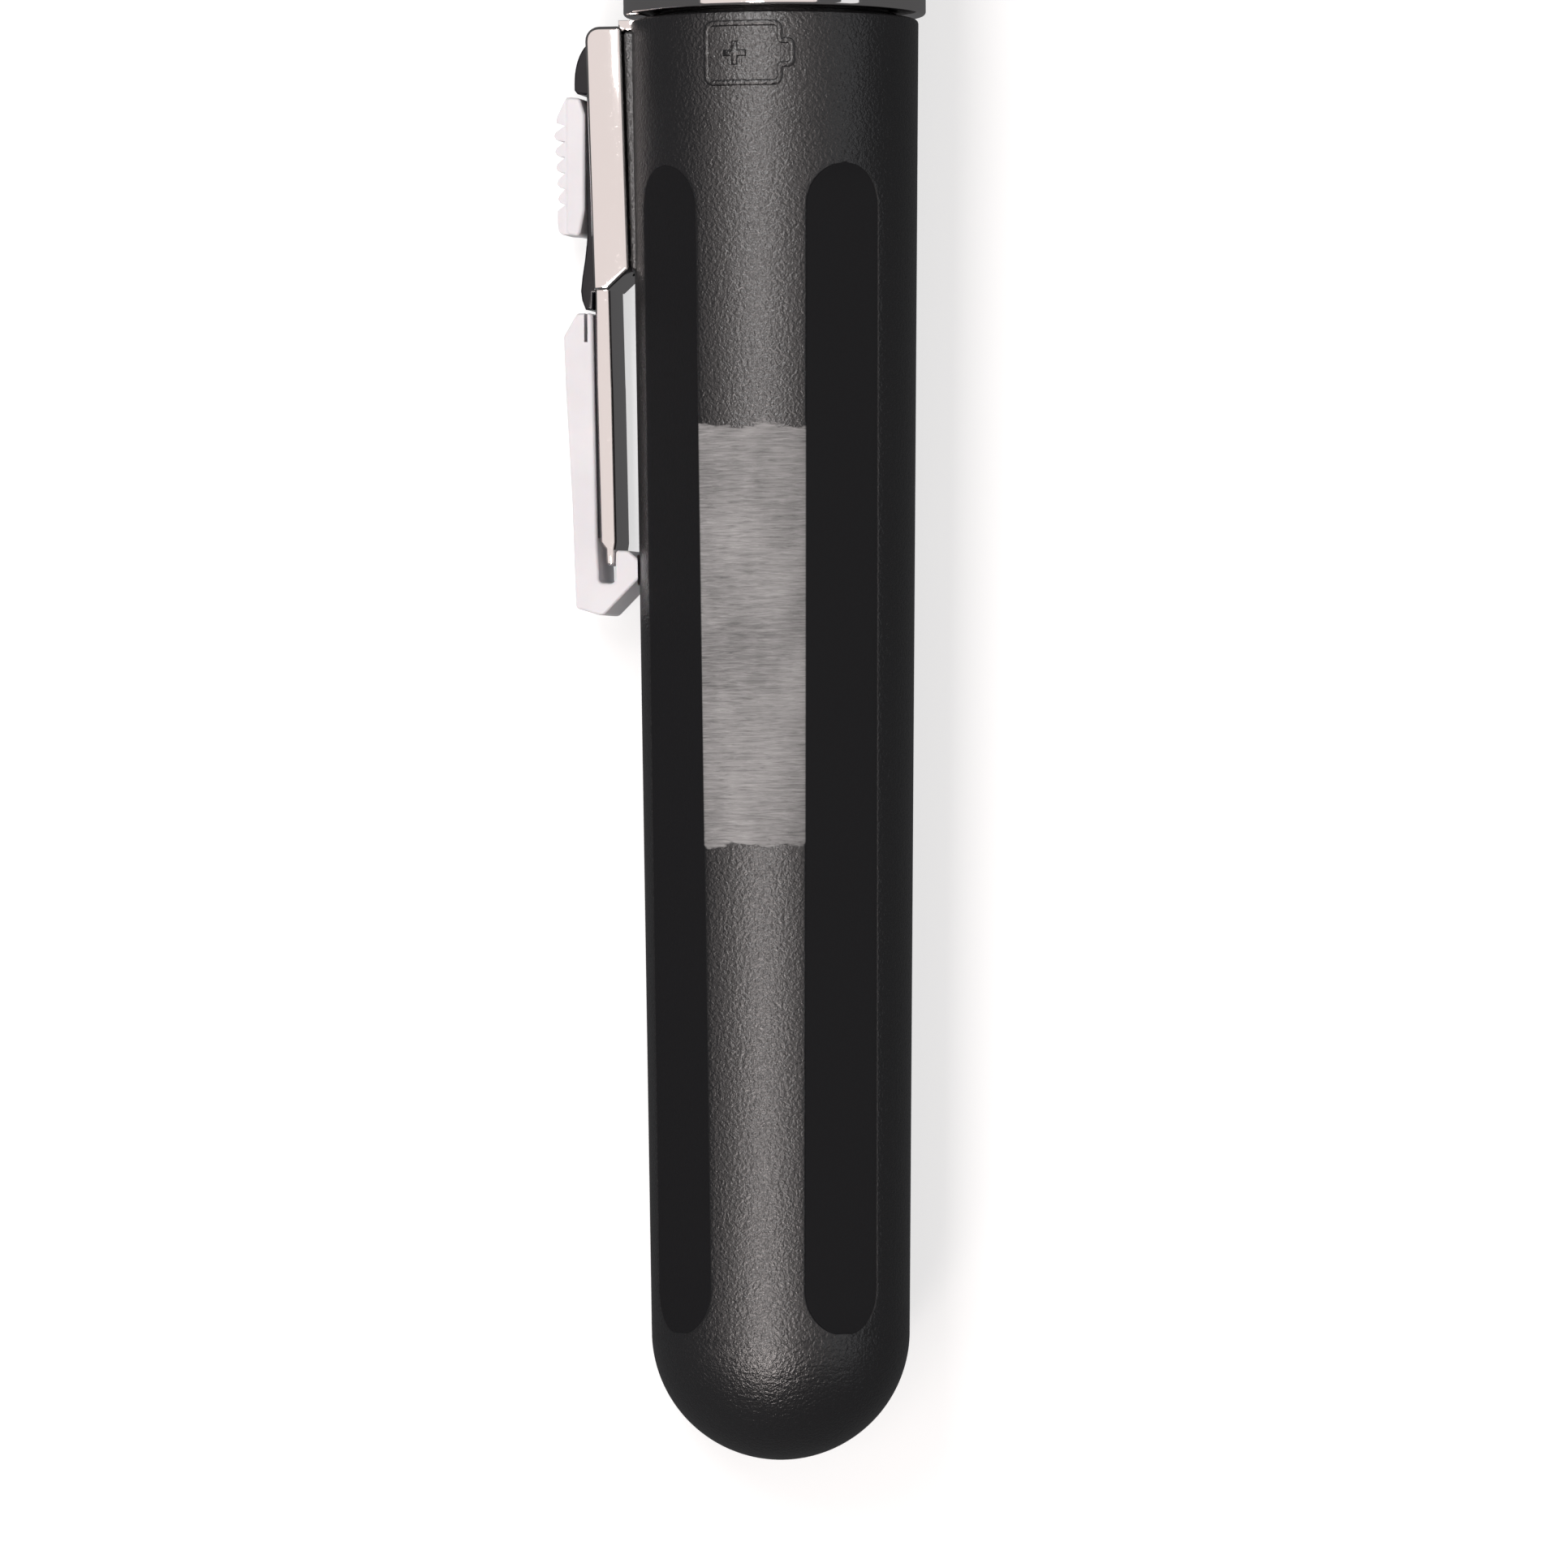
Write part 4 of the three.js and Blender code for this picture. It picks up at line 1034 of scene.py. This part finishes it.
def moulded_black():
    material, shader = new_material("moulded_black", (0.009, 0.009, 0.01), 0.42)
    shader.inputs["Specular IOR Level"].default_value = 0.6
    patchy = between(material, noise_along(material, 700, (1, 1, 1), 3, 0.6), 0.3, 0.7, 0.38, 0.5)
    join(material, patchy, shader.inputs["Roughness"])
    bump(material, shader, noise_along(material, GRAIN_SCALE, (1, 1, 1), 2, 0.55, 0.3), 0.05 * MM)
    return material


head_black = moulded_black()
curve = [CURVE_START + (NECK_START - CURVE_START) * i / CURVE_STEPS for i in range(CURVE_STEPS + 1)]
outside = [(head_radius(height), height) for height in curve]
inside = [(head_radius(height) - SHELL_WALL, height) for height in (33, 29.5, 26, 22.5, 19, 14)]
shell_outline = [(8.95, HEAD_START, 0.1)] + outside
shell_outline += [(5.9, NECK_START), (5.9, NECK_END), (4.9, NECK_END), (4.9, 36.5)]
shell_outline += inside + [(7.8, 11), (7.8, HEAD_START)]
head = turned("head_shell_moulding", shell_outline, 160)
shape(head, "DIFFERENCE", pin("window_hole", 1.35, 5, 11, INDICATOR_HEIGHT, "front"))
dress(head, "head", "head_plastic", head_black, "head_shell")

# %% [markdown]
# The spigot is the black tube at the bottom of the head that screws into the barrel. Its thread is a small
# circle swept along a helix and joined on. A rubber ring sits in the groove above it.

# %% Spigot, thread and seal
THREAD_PITCH, THREAD_RADIUS = 1.5, 7.35


def thread_ridge(low, high, thickness=0.4, columns=10, per_turn=72):
    """The round thread: a small circle swept along the helix, thinning out towards both ends."""
    steps = round((high - low) / THREAD_PITCH * per_turn)
    corners = []
    for step in range(steps + 1):
        share = step / steps
        height = low + (high - low) * share
        turn = 2 * math.pi * height / THREAD_PITCH
        size = thickness * min(1, 12 * share + 0.15, 12 * (1 - share) + 0.15)
        for column in range(columns):
            section = 2 * math.pi * column / columns
            radius = THREAD_RADIUS + size * math.cos(section)
            corners.append((radius * math.cos(turn), height + size * math.sin(section),
                            -radius * math.sin(turn)))
    faces = ring_faces(steps + 1, columns)
    faces += [tuple(range(columns)), tuple(range(steps * columns, (steps + 1) * columns))]
    return make_piece("thread", corners, faces)


spigot_outline = [(6, -7.1), (7.3, -7.1, 0.2), (7.3, -1.5), (6.8, -1.5), (6.8, -0.4), (7.3, -0.4),
                  (7.3, 0.3), (7.6, 0.3), (7.6, 9.5), (6, 9.5)]
spigot = turned("threaded_spigot_turned", spigot_outline, 128)
shape(spigot, "UNION", thread_ridge(-6.5, -2.6))
dress(spigot, "head", "head_plastic", head_black, "threaded_spigot")


def rubber_finish():
    material, shader = new_material("seal_rubber", (0.018, 0.018, 0.018), 0.6)
    bloom = between(material, noise_along(material, 1200, (1, 1, 1), 3, 0.6), 0.3, 0.7, 0.5, 0.7)
    join(material, bloom, shader.inputs["Roughness"])
    return material


SEAL_RADIUS, SEAL_HEIGHT, SEAL_THICKNESS, SEAL_SIDES = 7.3, -0.95, 0.4, 16
seal_turns = [2 * math.pi * i / SEAL_SIDES for i in range(SEAL_SIDES)]
seal_section = [(SEAL_RADIUS + SEAL_THICKNESS * math.cos(turn),
                 SEAL_HEIGHT + SEAL_THICKNESS * math.sin(turn)) for turn in seal_turns]
dress(turned("seal_ring_moulding", seal_section, 128), "head", "seal_rubber", rubber_finish(), "seal_ring")

# %% [markdown]
# The nose is a chrome bezel round a black plate. The plate has a round hole for the lamp's window and a
# slot for the magnetic reading head, a metal block with a narrow gap in its face. The two windows are
# clear and red plastic that let light through.

# %% Nose
LAMP_OFFSET = 2.2
BEZEL_START = NECK_START + 0.2
bezel_outline = [(6.05, BEZEL_START), (head_radius(NECK_START) - 0.03, BEZEL_START, 0.1),
                 (6.65, NOSE_END - 0.7), (6.4, NOSE_END - 0.1, 0.15), (6.25, NOSE_END), (6.05, NOSE_END)]
bezel = turned("nose_bezel_turned", bezel_outline, 160)
dress(bezel, "head", "chrome", bright_chrome, "nose_bezel")

nose = turned("nose_plate_moulding", [(0, 39.8), (5.85, 39.8), (5.85, NOSE_END, 0.15), (0, NOSE_END)], 128)
lamp_hole = turned("lamp_hole", [(0, 39), (1.75, 39), (1.75, 43), (0, 43)], 64, LAMP_OFFSET)
reader_slot = block("reader_slot", 1.05, 3.35, 39, 43, 4.3)
shape(nose, "DIFFERENCE", lamp_hole, reader_slot)
dress(nose, "head", "head_plastic", head_black, "nose_plate")


def metal_finish(name, colour, roughness):
    """Metal with a fine brushed grain."""
    material, shader = new_material(name, colour, roughness, 1.0)
    grain = between(material, noise_along(material, 1500, (1, 8, 1), 3, 0.6), 0.3, 0.7, roughness - 0.07,
                    roughness + 0.1)
    join(material, grain, shader.inputs["Roughness"])
    return material


head_metal = metal_finish("head_metal", (0.66, 0.66, 0.67), 0.24)
reader = block("reading_head_block", 1.2, 3.2, 37.2, 42.7, 4.0, 0.12)
shape(reader, "DIFFERENCE", block("reader_gap", 2.15, 2.25, 42.3, 43, 3.0, 0.01))
dress(reader, "head", "head_metal", head_metal, "reading_head")


def lens_finish(name, colour, clear):
    material, shader = new_material(name, colour, 0.06)
    shader.inputs["Transmission Weight"].default_value = clear
    haze = between(material, noise_along(material, 900, (1, 1, 1), 3, 0.6), 0.3, 0.8, 0.03, 0.12)
    join(material, haze, shader.inputs["Roughness"])
    return material


lens = turned("lamp_lens_disc", [(0, 41), (1.6, 41), (1.6, 42, 0.12), (0, 42)], 64, LAMP_OFFSET)
dress(lens, "head", "clear_lens", lens_finish("clear_window", (0.9, 0.93, 0.96), 0.85), "lamp_lens")
red_lens = lens_finish("red_lens", (0.55, 0.03, 0.02), 0.3)
window_out = head_radius(INDICATOR_HEIGHT)
indicator = pin("indicator_window_plug", 1.2, window_out - 2.1, window_out + 0.03, INDICATOR_HEIGHT,
                "front")
dress(indicator, "head", "red_lens", red_lens, "indicator_window")

# %% [markdown]
# ## What is inside
# The cells, contacts and board only show when the head is off or a piece is hidden. Their CAD shapes are
# plain blocks and coils already, so they stay as they are and get their finishes here: each takes the look
# of the record's slot that it is listed under.

# %% Finishes of the inner pieces
def printed_finish(name, colour, second, roughness, scale):
    """Plastic with a faint second tone, for cells, the board and moulded parts."""
    material, shader = new_material(name, colour, roughness)
    tone = between(material, noise_along(material, scale, (1, 1, 1), 4, 0.6), 0.35, 0.65)
    join(material, mix(material, "RGBA", tone, colour, second), shader.inputs["Base Color"])
    bump(material, shader, noise_along(material, scale * 4, (1, 1, 1), 2, 0.5), 0.01 * MM)
    return material


inner_finishes = {
    "head_plastic": head_black,
    "white_plastic": satin_white,
    "red_lens": red_lens,
    "brass": metal_finish("stamped_brass", (0.76, 0.6, 0.3), 0.3),
    "spring_steel": metal_finish("spring_steel", (0.6, 0.61, 0.62), 0.27),
    "cell_wrap": printed_finish("cell_wrap", (0.08, 0.3, 0.18), (0.11, 0.35, 0.22), 0.3, 300),
    "board": printed_finish("board_green", (0.04, 0.2, 0.1), (0.06, 0.26, 0.13), 0.45, 900),
    "dark_parts": printed_finish("dark_epoxy", (0.02, 0.02, 0.02), (0.035, 0.035, 0.035), 0.5, 1200),
    "ceramic_parts": printed_finish("fired_ceramic", (0.58, 0.46, 0.3), (0.66, 0.54, 0.38), 0.6, 1200),
    "violet_lamp": lens_finish("violet_lamp", (0.62, 0.52, 0.86), 0.5),
}
rebuilt = {"barrel", "clip_frame", "clip_arm", "clip_cover", "clip_liner", "clip_tip", "thumb_slider",
           "collar_ring", "head_shell", "threaded_spigot", "seal_ring", "nose_bezel", "nose_plate",
           "reading_head", "lamp_lens", "indicator_window"}
slots = {part["node"]: part["material_slot"] for part in frame["record"]["subparts"]}
for name, piece in frame["nodes"].items():
    if name not in rebuilt:
        piece.data.materials.clear()
        piece.data.materials.append(inner_finishes[slots[name]])
print(len(frame["nodes"]) - len(rebuilt), "CAD pieces carried over")
